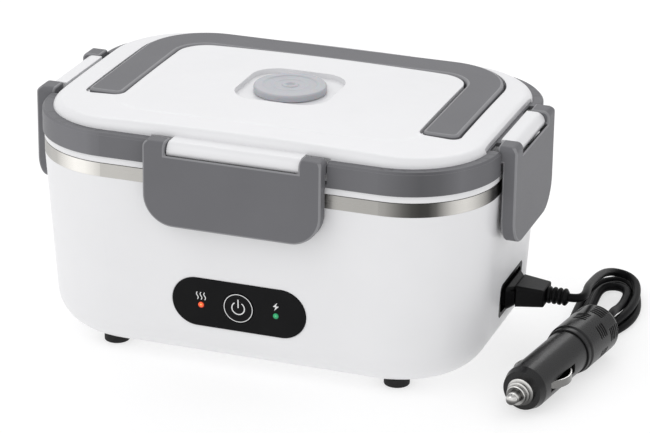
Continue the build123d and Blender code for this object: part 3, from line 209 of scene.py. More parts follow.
def multiplied(tree, a, b):
    """Two colours multiplied."""
    return mixed(tree, 1.0, a, b, "MULTIPLY")


def maths(tree, operation, a, b=None):
    """A Math node on two sockets or numbers."""
    node = tree.nodes.new("ShaderNodeMath")
    node.operation = operation
    for socket, value in zip(node.inputs, (a, b)):
        if isinstance(value, (int, float)):
            socket.default_value = value
        elif value is not None:
            tree.links.new(value, socket)
    return node.outputs["Value"]


def ramped(tree, value, stops):
    """Colour from a value by a list of (place, colour) stops."""
    ramp = tree.nodes.new("ShaderNodeValToRGB")
    elements = ramp.color_ramp.elements
    while len(elements) < len(stops):
        elements.new(0.5)
    for element, (place, colour) in zip(elements, stops):
        element.position = place
        element.color = (*colour, 1)
    tree.links.new(value, ramp.inputs["Fac"])
    return ramp.outputs["Color"]


def tinted(stops, tint=(1, 1, 1)):
    """Stops of (place, brightness) as stops of (place, colour)."""
    return [(place, [level * t for t in tint]) for place, level in stops]


def bumped(tree, height, depth, normal=None):
    """A bump of some depth in millimetres, laid over another normal."""
    node = tree.nodes.new("ShaderNodeBump")
    node.inputs["Strength"].default_value = 1.0
    node.inputs["Distance"].default_value = depth * MM
    tree.links.new(height, node.inputs["Height"])
    if normal:
        tree.links.new(normal, node.inputs["Normal"])
    return node.outputs["Normal"]


def surface(
    name, colour, roughness, grain=2200.0, depth=0.012, mottle=0.05, metallic=0.0,
    stretch=(1, 1, 1), edge=0.35, edge_highlight_colour=None, step=None, painted_light=None, **sockets
):
    """A moulded or metal surface: mottled colour, gloss, grain, soft edges, optional painted
    highlight and shade.
    """
    mat, tree, bsdf = shader(name)
    broad = noise(tree, MOTTLE_SCALE, 3.0)
    fine = noise(tree, grain, 3.0, stretch)
    dark = [c * (1 - mottle) for c in colour]
    light = [min(1, c * (1 + mottle)) for c in colour]
    colour_out = mixed(tree, ranged(tree, broad, 0, 1), dark, light)
    # painted light and shade by which way the surface faces
    if painted_light:
        colour_out = multiplied(tree, colour_out, painted_light(tree))
    gloss = ranged(tree, fine, roughness - GLOSS_SPREAD, roughness + GLOSS_SPREAD)
    soft_normal = None
    if edge:
        bevel = tree.nodes.new("ShaderNodeBevel")
        bevel.samples = BEVEL_SAMPLES
        bevel.inputs["Radius"].default_value = edge * MM
        soft_normal = bevel.outputs["Normal"]
        # a painted highlight along the edges
        if edge_highlight_colour:
            colour_out = painted_edge_highlight(tree, soft_normal, colour_out, edge_highlight_colour)
    normal = bumped(tree, fine, depth, soft_normal)
    if step:
        normal = bumped(tree, step(tree), LID_STEP_HEIGHT, normal)
    tree.links.new(colour_out, bsdf.inputs["Base Color"])
    tree.links.new(gloss, bsdf.inputs["Roughness"])
    tree.links.new(normal, bsdf.inputs["Normal"])
    bsdf.inputs["Metallic"].default_value = metallic
    for key, value in sockets.items():
        bsdf.inputs[key.replace("_", " ")].default_value = value
    return mat


def painted_edge_highlight(tree, soft_normal, colour, edge_highlight_colour):
    """A painted highlight: a lighter colour where the surface turns over an edge."""
    facing = tree.nodes.new("ShaderNodeNewGeometry")
    dot = tree.nodes.new("ShaderNodeVectorMath")
    dot.operation = "DOT_PRODUCT"
    tree.links.new(soft_normal, dot.inputs[0])
    tree.links.new(facing.outputs["True Normal"], dot.inputs[1])
    share = map_range(tree, dot.outputs["Value"], EDGE_HIGHLIGHT_TURN, (0.0, EDGE_HIGHLIGHT_SHARE))
    return mixed(tree, share, colour, edge_highlight_colour)


def lid_step(tree):
    """Height of the shallow step that runs round the middle of the lid's top."""
    place = axes(tree, "Object")
    terms = []
    for axis, half in (("X", LID_STEP_HALF_X * MM), ("Y", LID_STEP_HALF_Y * MM)):
        share = maths(tree, "ABSOLUTE", maths(tree, "DIVIDE", place[axis], half))
        terms.append(maths(tree, "POWER", share, LID_STEP_SQUARENESS))
    return map_range(tree, maths(tree, "ADD", *terms), LID_STEP_SLOPE, (1.0, 0.0), smooth=True)


def heading(tree):
    """Which way a wall faces: 0 left, 0.5 front or back, 1 right."""
    facing = axes(tree, "Normal")
    angle = maths(tree, "ARCTAN2", facing["X"], maths(tree, "ABSOLUTE", facing["Y"]))
    return map_range(tree, angle, (-math.pi / 2, math.pi / 2))


def band_painted_sheen(tree):
    """Painted sheen and shade on the lid's band: lighter at the left, dark at the front-right
    corner.
    """
    return ramped(tree, heading(tree), tinted([
        (0.0, 0.66), (0.2, 0.72), (0.36, 0.84), (0.45, 0.84), (0.5, 0.68), (0.56, 0.58),
        (0.64, 0.44), (0.70, 0.50), (0.78, 0.74), (0.86, 0.66), (1.0, 0.58),
    ]))


def turned_painted_sheen(tree):
    """Painted sheen of a small turned part: a painted highlight above, painted shade below."""
    height = map_range(tree, axes(tree, "Normal")["Z"], (-1.0, 1.0))
    return ramped(tree, height, tinted([
        (0.0, 0.06), (0.40, 0.12), (0.52, 0.30), (0.62, 0.80), (0.76, 1.0), (0.86, 0.62),
        (0.93, 0.50), (1.0, 0.9),
    ]))


def steel(name):
    """Drawn steel, brushed round the wall; broad painted reflections by facing, painted shade to
    the right.
    """
    mat, tree, bsdf = shader(name)
    # painted reflections: brighter and darker bands by which way the wall faces
    painted_reflections = ramped(tree, heading(tree), tinted([
        (0.0, 0.25), (0.10, 0.22), (0.20, 0.28), (0.26, 0.42), (0.30, 0.45), (0.333, 0.61),
        (0.37, 0.76), (0.40, 0.83), (0.44, 0.80), (0.475, 0.66), (0.5, 0.46), (0.528, 0.35),
        (0.556, 0.24), (0.583, 0.14), (0.611, 0.08), (0.64, 0.058), (0.667, 0.062), (0.694, 0.145),
        (0.722, 0.39), (0.75, 0.62), (0.778, 0.76), (0.806, 0.80), (0.833, 0.73), (0.861, 0.58),
        (0.889, 0.40), (0.917, 0.22), (0.95, 0.15), (1.0, 0.18),
    ], (1, 0.975, 0.925)))
    lines = noise(tree, 700, 3.0, (0.04, 0.04, 6.0))
    broad = noise(tree, 30, 2.0, (1, 1, 0.2))
    # painted shade: darker towards the right
    painted_falloff = map_range(tree, axes(tree, "Object")["X"], (-70 * MM, 70 * MM), (1.20, 0.88))
    cloud = mixed(tree, ranged(tree, broad, 0, 1), (0.90, 0.90, 0.90), (1, 1, 1))
    graded = multiplied(tree, multiplied(tree, painted_reflections, painted_falloff), cloud)
    tree.links.new(graded, bsdf.inputs["Base Color"])
    tree.links.new(ranged(tree, lines, 0.24, 0.38), bsdf.inputs["Roughness"])
    tree.links.new(bumped(tree, lines, 0.004), bsdf.inputs["Normal"])
    bsdf.inputs["Metallic"].default_value = 1.0
    return mat


def lens(name, node_name, middle, body, rim, strength):
    """A small moulded lamp lens, lit from behind: bright in the middle, dark at its rim."""
    mat = surface(name, body, 0.18, grain=900, depth=0.004, mottle=0.1, edge=0.2)
    tree = mat.node_tree
    bsdf = tree.nodes["Principled BSDF"]
    low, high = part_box(node_name)
    coord = tree.nodes.new("ShaderNodeTexCoord")
    away = tree.nodes.new("ShaderNodeVectorMath")
    away.operation = "DISTANCE"
    tree.links.new(coord.outputs["Object"], away.inputs[0])
    away.inputs[1].default_value = ((low[0] + high[0]) / 2, low[1], (low[2] + high[2]) / 2)
    share = maths(tree, "DIVIDE", away.outputs["Value"], (high[0] - low[0]) / 2)
    glow = ramped(tree, share, [(0.0, middle), (0.35, body), (0.7, body), (1.0, rim)])
    tree.links.new(glow, bsdf.inputs["Base Color"])
    tree.links.new(glow, bsdf.inputs["Emission Color"])
    bsdf.inputs["Emission Strength"].default_value = strength
    return mat


# ------------------------------------------------------------------ materials
WHITE_LOOK = dict(
    colour=(0.775, 0.775, 0.785), roughness=0.34, grain=160, depth=0.004, mottle=0.012, edge=0.5
)
GREY_LOOK = dict(roughness=0.42, grain=2600, depth=0.005, mottle=0.03, Specular_IOR_Level=0.10)

# one material for each slot, which MATS keeps under the slot's name
surface("white_plastic", **WHITE_LOOK)
# its edge colour is a painted highlight along the edges
surface(
    "grey_plastic", (0.148, 0.148, 0.157), edge=0.4, edge_highlight_colour=(0.30, 0.30, 0.31), **GREY_LOOK
)
surface("liner_plastic", (0.60, 0.61, 0.62), 0.45, grain=400, depth=0.006, mottle=0.03)
surface(
    "black_plastic", (0.0045, 0.0045, 0.0048), 0.36, depth=0.010, mottle=0.2, edge=0.5,
    Specular_IOR_Level=0.10
)
surface(
    "black_gloss", (0.0075, 0.0075, 0.008), 0.22, grain=300, depth=0.002, mottle=0.15,
    edge=0.25, Specular_IOR_Level=0.07
)
steel("polished_steel")
surface("screw_steel", (0.56, 0.56, 0.57), 0.32, grain=1500, mottle=0.08, metallic=1)
surface("spring_steel", (0.48, 0.48, 0.50), 0.30, grain=1500, mottle=0.08, metallic=1)
surface(
    "aluminium_plate", (0.72, 0.72, 0.73), 0.42, grain=700, depth=0.02, mottle=0.06,
    metallic=1, stretch=(0.06, 3.0, 1.0)
)
surface("heater_ceramic", (0.74, 0.71, 0.64), 0.62, grain=1200, depth=0.03, mottle=0.08)
surface("felt", (0.66, 0.63, 0.56), 0.95, grain=900, depth=0.25, mottle=0.16)
lens(
    "amber_lens", "heat_lamp", (1.0, 0.62, 0.16), (0.80, 0.09, 0.02), (0.16, 0.008, 0.004),
    strength=0.5
)
lens(
    "green_lens", "power_lamp", (0.16, 0.62, 0.30), (0.015, 0.34, 0.13), (0.002, 0.05, 0.02),
    strength=0.12
)
surface("circuit_board", (0.02, 0.16, 0.07), 0.38, grain=1800, depth=0.02, mottle=0.25)
surface(
    "contact_metal", (0.60, 0.585, 0.55), 0.24, grain=1200, depth=0.006, mottle=0.10,
    metallic=1, edge=0.3
)
surface("wire_cover", (0.38, 0.03, 0.03), 0.46, grain=900, depth=0.02, mottle=0.1)
surface(
    "silicone", (0.44, 0.45, 0.48), 0.38, grain=700, depth=0.010, edge=0.3,
    Subsurface_Weight=0.35, Subsurface_Scale=0.002, Specular_IOR_Level=0.4
)
surface(
    "cable_rubber", (0.0055, 0.0055, 0.006), 0.42, grain=1300, depth=0.015, mottle=0.25,
    edge=0, Specular_IOR_Level=0.05
)
surface(
    "black_rubber", (0.012, 0.012, 0.012), 0.72, grain=1400, depth=0.03, mottle=0.25,
    Specular_IOR_Level=0.3
)
surface(
    "fuse_glass", (0.85, 0.87, 0.88), 0.06, grain=300, depth=0.002, Transmission_Weight=0.85
)
# looks of their own for single pieces, or a painted highlight for the rounded rims of the grey ones
GREY_RIM_HIGHLIGHT = surface(
    "grey_rim_highlight", (0.245, 0.245, 0.255), 0.40, grain=2600, depth=0.005, mottle=0.03, edge=0,
    Specular_IOR_Level=0.2
)
# the band's painted sheen and shade by facing, and a painted highlight along its edges
BAND_PLASTIC = surface(
    "band_plastic", (0.225, 0.225, 0.238), edge=0.4, painted_light=band_painted_sheen,
    edge_highlight_colour=(0.26, 0.26, 0.27), **GREY_LOOK
)
# a painted highlight on top of the turned parts and painted shade below
TURNED_METAL = surface(
    "turned_metal", (0.80, 0.79, 0.77), 0.22, grain=1200, depth=0.004, mottle=0.06, metallic=1,
    edge=0.2, painted_light=turned_painted_sheen
)
LID_PLASTIC = surface("lid_plastic", **WHITE_LOOK, step=lid_step)
PLUG_PLASTIC = surface(
    "plug_plastic", (0.006, 0.006, 0.0064), 0.30, mottle=0.2, edge=0.5, Specular_IOR_Level=0.36
)
MARK_PRINT = surface("mark_print", (0.74, 0.74, 0.74), 0.45, grain=1800, depth=0.004, edge=0)

SLOT_NODES = {
    "white_plastic": ["outer_casing", "lid_shell"],
    "grey_plastic": ["lid_band"],
    "liner_plastic": ["inner_liner", "lid_liner"],
    "black_plastic": [
        "power_inlet", "plug_strain_relief", "car_plug_body", "button_switch", "thermostat",
    ],
    "black_gloss": ["control_panel", "power_button"],
    "polished_steel": ["steel_rim_band", "food_tray"],
    "screw_steel": [
        "case_screws", "clamp_screws", "board_screws", "lid_screws",
        "handle_pin_left", "handle_pin_right",
        "latch_pin_front", "latch_pin_right", "latch_pin_back", "latch_pin_left",
    ],
    "spring_steel": ["heater_clamp", "tip_spring"],
    "aluminium_plate": ["heating_plate"],
    "heater_ceramic": ["heating_stones"],
    "felt": ["insulation_pad"],
    "amber_lens": ["heat_lamp"],
    "green_lens": ["power_lamp"],
    "circuit_board": ["control_board"],
    "contact_metal": [
        "inlet_pins", "connector_sleeves", "fuse_contact",
        "side_contact_left", "side_contact_right",
    ],
    "wire_cover": ["heater_wires", "board_wires"],
    "silicone": ["lid_gasket"],
    "black_rubber": [
        "foot_front_left", "foot_front_right", "foot_back_left", "foot_back_right",
    ],
    "fuse_glass": ["plug_fuse"],
}
OWN_LOOKS = {
    "lid_shell": LID_PLASTIC, "lid_band": BAND_PLASTIC, "car_plug_body": PLUG_PLASTIC,
    "side_contact_left": TURNED_METAL, "side_contact_right": TURNED_METAL,
}
for slot_name, names in SLOT_NODES.items():
    for node_name in names:
        mesh = nodes[node_name].data
        mesh.materials.clear()
        mesh.materials.append(OWN_LOOKS.get(node_name, MATS[slot_name]))
cord_curve.materials.append(MATS["cable_rubber"])


# ------------------------------------------------------------------ mesh building
CREASE_ANGLE = math.radians(38)
EDGE_ANGLE = math.radians(40)
FLAT_ANGLE = math.radians(0.2)
WELD = 1e-6  # metres


def as_object(bm, name, body, slot, *replaced, material=None, rim=None):
    """A new piece from a bmesh, smooth with crisp edges, riding on a body; a rim look is a painted
    highlight.
    """
    bmesh.ops.recalc_face_normals(bm, faces=bm.faces)
    mesh = bpy.data.meshes.new(name)
    for face in bm.faces:
        face.smooth = True
    bm.to_mesh(mesh)
    bm.free()
    mesh.set_sharp_from_angle(angle=CREASE_ANGLE)
    piece = bpy.data.objects.new(name, mesh)
    scene.collection.objects.link(piece)
    weights = piece.modifiers.new("even_shading", "WEIGHTED_NORMAL")
    weights.keep_sharp = True
    mesh.materials.append(material or MATS[slot])
    # the second material paints a highlight on the rims
    if rim:
        mesh.materials.append(rim)
    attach(piece, body)
    if replaced:
        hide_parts(*replaced)
    return piece


def frame_of(origin, x_axis, z_axis):
    """Matrix from local millimetres to the scene's metres."""
    z = Vector(z_axis).normalized()
    x = Vector(x_axis).normalized()
    turned = Matrix((x, z.cross(x), z)).transposed().to_4x4()
    return Matrix.Translation(Vector(origin) * MM) @ turned @ Matrix.Scale(MM, 4)


def rounded(points, radii, steps):
    """A closed outline, anticlockwise, with its corners rounded."""
    out = []
    for i, here in enumerate(points):
        p = Vector(here)
        a = Vector(points[i - 1]) - p
        b = Vector(points[(i + 1) % len(points)]) - p
        half = a.angle(b) / 2
        r = radii[i]
        middle = p + (a.normalized() + b.normalized()).normalized() * (r / math.sin(half))
        start = p + a.normalized() * (r / math.tan(half)) - middle
        end = p + b.normalized() * (r / math.tan(half)) - middle
        sweep = math.atan2(start.x * end.y - start.y * end.x, start.dot(end))
        for k in range(steps + 1):
            c, s = math.cos(sweep * k / steps), math.sin(sweep * k / steps)
            out.append(middle + Vector((start.x * c - start.y * s, start.x * s + start.y * c)))
    return out


def inset(outline, by):
    """The outline moved inwards."""
    out = []
    for i, p in enumerate(outline):
        a = (p - outline[i - 1]).normalized()
        b = (outline[(i + 1) % len(outline)] - p).normalized()
        na, nb = Vector((-a.y, a.x)), Vector((-b.y, b.x))
        out.append(p + (na + nb) / (1 + na.dot(nb)) * by)
    return out


def slab(bm, outline, low, high, edge_low, edge_high, steps=5):
    """A plate between two heights, both rims rounded; the upper rim takes the second material, a
    painted highlight.
    """
    levels = []
    for k in range(steps + 1):
        t = math.pi / 2 * k / steps
        levels.append((edge_low * (1 - math.sin(t)), low + edge_low * (1 - math.cos(t))))
    for k in range(steps, -1, -1):
        t = math.pi / 2 * k / steps
        levels.append((edge_high * (1 - math.sin(t)), high - edge_high * (1 - math.cos(t))))
    rings = []
    for by, z in levels:
        rings.append([bm.verts.new(Vector((p.x, p.y, z)) * MM) for p in inset(outline, by)])
    for level, (below, above) in enumerate(zip(rings, rings[1:])):
        for i in range(len(outline)):
            j = (i + 1) % len(outline)
            side_face = bm.faces.new((below[i], below[j], above[j], above[i]))
            side_face.material_index = int(level > steps + 1)
    bm.faces.new(rings[0][::-1])
    bm.faces.new(rings[-1])


def lathe(bm, profile, at, segments, dent=None):
    """A turned shape: (radius, height) pairs in millimetres about the local Z axis, less a dent."""
    rings = []
    for radius, z in profile:
        if radius == 0:
            rings.append([bm.verts.new(at @ Vector((0, 0, z)))])
            continue
        ring = []
        for i in range(segments):
            t = 2 * math.pi * i / segments
            r = radius - (dent(t, z) if dent else 0)
            ring.append(bm.verts.new(at @ Vector((r * math.cos(t), r * math.sin(t), z))))
        rings.append(ring)
    for below, above in zip(rings, rings[1:]):
        for i in range(segments):
            j = (i + 1) % segments
            if len(below) == 1:
                bm.faces.new((below[0], above[j], above[i]))
            elif len(above) == 1:
                bm.faces.new((below[i], below[j], above[0]))
            else:
                bm.faces.new((below[i], below[j], above[j], above[i]))
    if len(rings[0]) > 1:
        bm.faces.new(rings[0][::-1])
    if len(rings[-1]) > 1:
        bm.faces.new(rings[-1])


def softened(name, body, slot, node_name, width, steps=3, rim=None, moved=None):
    """A CAD node's shape as a new piece with rounded edges; a rim look paints a highlight on the
    roundings.
    """
    bm = bmesh.new()
    bm.from_mesh(nodes[node_name].data)
    bmesh.ops.remove_doubles(bm, verts=bm.verts, dist=WELD)
    bmesh.ops.dissolve_limit(bm, angle_limit=FLAT_ANGLE, verts=bm.verts, edges=bm.edges)
    edges = [e for e in bm.edges if len(e.link_faces) == 2 and e.calc_face_angle() > EDGE_ANGLE]
    rounding = bmesh.ops.bevel(
        bm, geom=edges, offset=width * MM, offset_type="OFFSET", segments=steps, profile=0.5,
        affect="EDGES", clamp_overlap=False, miter_outer="SHARP"
    )
    # the roundings take the second material, a painted highlight
    if rim:
        for face in rounding["faces"]:
            face.material_index = 1
    if moved:
        for vert in bm.verts:
            vert.co = moved(vert.co)
    return as_object(bm, name, body, slot, node_name, rim=rim)


def arc(radius, start, end, steps):
    """Points on an arc about the middle, angles in degrees."""
    out = []
    for k in range(steps + 1):
        t = math.radians(start + (end - start) * k / steps)
        out.append(Vector((radius * math.cos(t), radius * math.sin(t))))
    return out


def stroke(bm, path, width, low, high, at, closed=False):
    """A flat raised line along a path of points, square ended."""
    left, right_side = [], []
    n = len(path)
    for i, p in enumerate(path):
        before = path[i - 1] if i > 0 or closed else p
        after = path[(i + 1) % n] if i < n - 1 or closed else p
        d = (after - before).normalized()
        side = Vector((-d.y, d.x)) * width / 2
        left.append(p + side)
        right_side.append(p - side)
    top_a, top_b, foot_a, foot_b = (
        [bm.verts.new(at @ Vector((p.x, p.y, z))) for p in row]
        for z in (high, low) for row in (right_side, left)
    )
    for i in range(n if closed else n - 1):
        j = (i + 1) % n
        bm.faces.new((top_a[i], top_a[j], top_b[j], top_b[i]))
        bm.faces.new((foot_b[i], foot_b[j], foot_a[j], foot_a[i]))
        bm.faces.new((top_a[i], foot_a[i], foot_a[j], top_a[j]))
        bm.faces.new((top_b[i], foot_b[i], foot_b[j], top_b[j]))
    if not closed:
        bm.faces.new((top_a[0], top_b[0], foot_b[0], foot_a[0]))
        bm.faces.new((top_a[-1], foot_a[-1], foot_b[-1], top_b[-1]))


def bored(piece, radius, reach, at):
    """A round hole cut through a piece."""
    cutter_bm = bmesh.new()
    lathe(cutter_bm, [(radius, -reach), (radius, reach)], at, 32)
    bmesh.ops.recalc_face_normals(cutter_bm, faces=cutter_bm.faces)
    cutter_mesh = bpy.data.meshes.new("pin_bore")
    cutter_bm.to_mesh(cutter_mesh)
    cutter_bm.free()
    cutter = bpy.data.objects.new("pin_bore", cutter_mesh)
    scene.collection.objects.link(cutter)
    cut = piece.modifiers.new("bore", "BOOLEAN")
    cut.object = cutter
    cut.solver = "EXACT"
    piece.modifiers.move(len(piece.modifiers) - 1, 0)
    seen = piece.evaluated_get(bpy.context.evaluated_depsgraph_get())
    result = bpy.data.meshes.new_from_object(seen)
    piece.modifiers.remove(piece.modifiers["bore"])
    piece.data = result
    bpy.data.objects.remove(cutter)


# ------------------------------------------------------------------ carrying handle
HANDLE_TOP, HANDLE_THICK = 117.2, 7
HANDLE_HALF, HANDLE_INNER_HALF = 90, 73
HANDLE_END, HANDLE_BACK, HANDLE_INNER_BACK = -34, 66.6, 48.1
HANDLE_PIN_X, HANDLE_PIN_Y, HANDLE_BORE, HANDLE_BORE_REACH = 81.5, -30.5, 1.56, 14
bm = bmesh.new()
handle_outline = rounded(
    [
        (HANDLE_HALF, HANDLE_END), (HANDLE_HALF, HANDLE_BACK),
        (-HANDLE_HALF, HANDLE_BACK), (-HANDLE_HALF, HANDLE_END),
        (-HANDLE_INNER_HALF, HANDLE_END), (-HANDLE_INNER_HALF, HANDLE_INNER_BACK),
        (HANDLE_INNER_HALF, HANDLE_INNER_BACK), (HANDLE_INNER_HALF, HANDLE_END),
    ],
    [3.4, 32, 32, 3.4, 3.4, 15, 15, 3.4], 14
)
slab(bm, handle_outline, HANDLE_TOP - HANDLE_THICK, HANDLE_TOP, 2.0, 1.5)
# the lighter rim material paints a highlight on the handle's rounded upper rim
handle = as_object(
    bm, "carry_handle_shell", "handle", "grey_plastic", "carry_handle", rim=GREY_RIM_HIGHLIGHT
)
for side in (-1, 1):
    bored(handle, HANDLE_BORE, HANDLE_BORE_REACH, frame_of(
        (side * HANDLE_PIN_X, HANDLE_PIN_Y, HANDLE_TOP - HANDLE_THICK / 2), (0, 1, 0), (1, 0, 0)
    ))

# ------------------------------------------------------------------ latches
# the lighter rim material paints a highlight on the latches' rounded edges
for side_name in ("front", "right", "back", "left"):
    softened(
        f"latch_{side_name}_shell", f"{side_name}_latch", "grey_plastic", f"latch_{side_name}",
        0.9, steps=4, rim=GREY_RIM_HIGHLIGHT
    )

# ------------------------------------------------------------------ steam valve
VALVE_PLACE = (-2, 0, 115.9)
VALVE_PROFILE = [
    (0, -6.0), (3.6, -6.0), (4.0, -5.6), (4.0, 0), (16.3, 0), (17.0, 0.25), (17.2, 0.8),
    (17.2, 2.5), (17.05, 3.0), (16.7, 3.35), (16.2, 3.5), (13.4, 3.55), (12.9, 3.4), (12.5, 3.1),
    (12.1, 3.05), (9.0, 3.05), (8.6, 3.15), (8.2, 3.3), (7.6, 3.3), (7.2, 3.15), (6.9, 3.05),
    (4.1, 3.05), (3.8, 3.3), (3.4, 3.5), (2.6, 3.5), (2.2, 3.35), (1.7, 2.95), (0.8, 2.75),
    (0, 2.7),
]
bm = bmesh.new()
lathe(bm, VALVE_PROFILE, frame_of(VALVE_PLACE, (1, 0, 0), (0, 0, 1)), 96)
as_object(bm, "steam_valve_disc", "valve", "silicone", "steam_valve")

# ------------------------------------------------------------------ panel marks
WALL_HEIGHT, WALL_INWARD = 86.7, 4.5  # the casing's front wall leans in by this towards its foot
WALL_LEAN = math.atan(WALL_INWARD / WALL_HEIGHT)
PANEL_MIDDLE = (0, -71.314, 35.1)
PANEL = frame_of(PANEL_MIDDLE, (1, 0, 0), (0, -math.cos(WALL_LEAN), -math.sin(WALL_LEAN)))
# where the print's foot and its face lie, out from the wall
BUTTON_PRINT = (0.8, 0.95)
PANEL_PRINT = (0.5, 0.66)
bm = bmesh.new()
stroke(bm, arc(6.85, 0, 357, 119), 0.34, *BUTTON_PRINT, PANEL, closed=True)
stroke(bm, arc(3.05, 124, 416, 48), 0.5, *BUTTON_PRINT, PANEL)
stroke(bm, [Vector((0, 0.2)), Vector((0, 4.4))], 0.5, *BUTTON_PRINT, PANEL)
as_object(bm, "button_marks", "button", "white_plastic", material=MARK_PRINT)

HEAT_MARK = (-18.2, 1.5)
WAVE_GAP, WAVE_SWING, WAVE_HEIGHT, WAVE_STEPS = 1.8, 0.42, 3.7, 12
BOLT_MARK = [(18.9, 5.7), (16.75, 3.35), (18.1, 3.35), (17.4, 1.4), (19.65, 3.8), (18.25, 3.8)]
bm = bmesh.new()
for shift in (-WAVE_GAP, 0, WAVE_GAP):
    wave = [
        Vector((
            HEAT_MARK[0] + shift + WAVE_SWING * math.sin(k / WAVE_STEPS * 2 * math.pi),
            HEAT_MARK[1] + WAVE_HEIGHT * k / WAVE_STEPS,
        ))
        for k in range(WAVE_STEPS + 1)
    ]
    stroke(bm, wave, 0.42, *PANEL_PRINT, PANEL)
foot, top = (
    [bm.verts.new(PANEL @ Vector((x, y, z))) for x, y in BOLT_MARK] for z in PANEL_PRINT
)
bm.faces.new(top)
bm.faces.new(foot[::-1])
for i in range(len(BOLT_MARK)):
    j = (i + 1) % len(BOLT_MARK)
    bm.faces.new((foot[i], foot[j], top[j], top[i]))
as_object(bm, "panel_marks", "base", "white_plastic", material=MARK_PRINT)

# ------------------------------------------------------------------ cord connector and relief
CONNECTOR_START, CONNECTOR_END = 110.6 * MM, 123.95 * MM
CONNECTOR_GROWTH = 0.26
RELIEF_LENGTH, RELIEF_RIBS, RIB_PITCH, RIB_STEPS = 10.0, 4, 2.5, 8


def tapered(place):
    """The connector's body, wider towards the box."""
    if place.x < CONNECTOR_START:
        return place
    share = (CONNECTOR_END - place.x) / (CONNECTOR_END - CONNECTOR_START)
    grown = 1 + CONNECTOR_GROWTH * share
    _, y, z = CORD_EXIT
    return Vector((place.x, y + (place.y - y) * grown, z + (place.z - z) * grown))


softened("cord_connector_shell", "cord", "black_plastic", "cord_connector", 0.7, moved=tapered)
ribs = [(3.1, 0.0)]
for rib in range(RELIEF_RIBS):
    for k in range(RIB_STEPS + 1):
        t = math.pi * k / RIB_STEPS
        rib_place = RIB_PITCH * rib + 0.15 + 1.9 * (1 - math.cos(t)) / 2
        ribs.append((3.0 + 1.1 * math.sin(t) ** 0.7, rib_place))
ribs += [(2.9, RELIEF_LENGTH)]
bm = bmesh.new()
lathe(bm, ribs, frame_of(
    (CORD_START[0] - RELIEF_LENGTH, CORD_START[1], CORD_START[2]), (0, 0, 1), (1, 0, 0)
), 48)
as_object(bm, "cord_relief_ribs", "cord", "black_plastic", "cord_strain_relief")

# ------------------------------------------------------------------ car plug
# it lies on its collar and on the front of its body, each given by its radius and its place
COLLAR_R, COLLAR_AT = 11.8, 58
BODY_R, BODY_AT = 10.4, 16
FLOOR_GAP = 0.05
PLUG_TURN = math.radians(11)
PLUG_TILT = math.asin((COLLAR_R - BODY_R) / (COLLAR_AT - BODY_AT))
PLUG_TIP = (128.8, -71.5, BODY_R + FLOOR_GAP - BODY_AT * math.sin(PLUG_TILT))
plug_axis = Vector((
    math.sin(PLUG_TURN) * math.cos(PLUG_TILT), math.cos(PLUG_TURN) * math.cos(PLUG_TILT),
    math.sin(PLUG_TILT)
))
PLUG = frame_of(PLUG_TIP, (math.cos(PLUG_TURN), -math.sin(PLUG_TURN), 0), plug_axis)

# groups of slots: place of the first, how many, first angle
SLOT_GROUPS = ((71.4, 4, math.radians(12)), (80.2, 5, math.radians(34)))
SLOT_PITCH, SLOT_HALF, SLOT_DEPTH = 1.7, 0.45, 0.7
SLOT_REPEAT, SLOT_SPREAD = math.pi / 3, math.radians(30)


def grip_slots(t, z):
    """Depth of the collar's fine grip slots at an angle and a distance along the plug."""
    for first, count, angle in SLOT_GROUPS:
        for k in range(count):
            if abs(z - (first + SLOT_PITCH * k)) < SLOT_HALF:
                if (t - angle) % SLOT_REPEAT < SLOT_SPREAD:
                    return SLOT_DEPTH
    return 0.0


GRIP_START, GRIP_LENGTH, GRIP_STEPS = 61.8, 25.4, 108
COLLAR_PROFILE = [
    (9.0, 58.0), (11.0, 58.0), (11.2, 58.3), (11.2, 60.6), (11.5, 60.9), (COLLAR_R, 61.4),
    *[(COLLAR_R, GRIP_START + GRIP_LENGTH * k / GRIP_STEPS) for k in range(GRIP_STEPS + 1)],
    (11.65, 88.0), (11.2, 88.9), (10.5, 89.6), (9.6, 90.0),
]
NOSE_PROFILE = [
    (2.92, 12.0), (2.92, 6.2), (4.3, 6.0), (4.7, 6.3), (4.7, 7.6), (4.4, 7.8), (4.4, 8.1),
    (5.2, 8.2), (5.5, 8.5), (5.5, 9.6), (5.2, 9.8), (5.2, 10.1), (6.1, 10.3), (6.4, 10.6),
    (6.4, 12.0),
]
TIP_PROFILE = [
    (0, 0.0), (1.0, 0.12), (1.8, 0.5), (2.3, 1.05), (2.62, 1.8), (2.62, 2.6), (2.3, 2.9),
    (2.3, 3.3), (2.75, 3.6), (2.8, 4.0), (2.8, 12.35), (3.8, 12.4), (3.9, 12.5), (3.9, 13.5),
    (3.8, 13.6), (0, 13.6),
]
bm = bmesh.new()
lathe(bm, COLLAR_PROFILE, PLUG, 144, grip_slots)
collar_grip = as_object(
    bm, "plug_collar_grip", "cord", "black_plastic", "car_plug_collar", material=PLUG_PLASTIC
)
bm = bmesh.new()
lathe(bm, NOSE_PROFILE, PLUG, 72)
nose_rings = as_object(
    bm, "plug_nose_rings", "cord", "contact_metal", "plug_nose_ring", material=TURNED_METAL
)
bm = bmesh.new()
lathe(bm, TIP_PROFILE, PLUG, 48)
as_object(bm, "plug_tip_pin", "tip", "contact_metal", "plug_tip", material=TURNED_METAL)

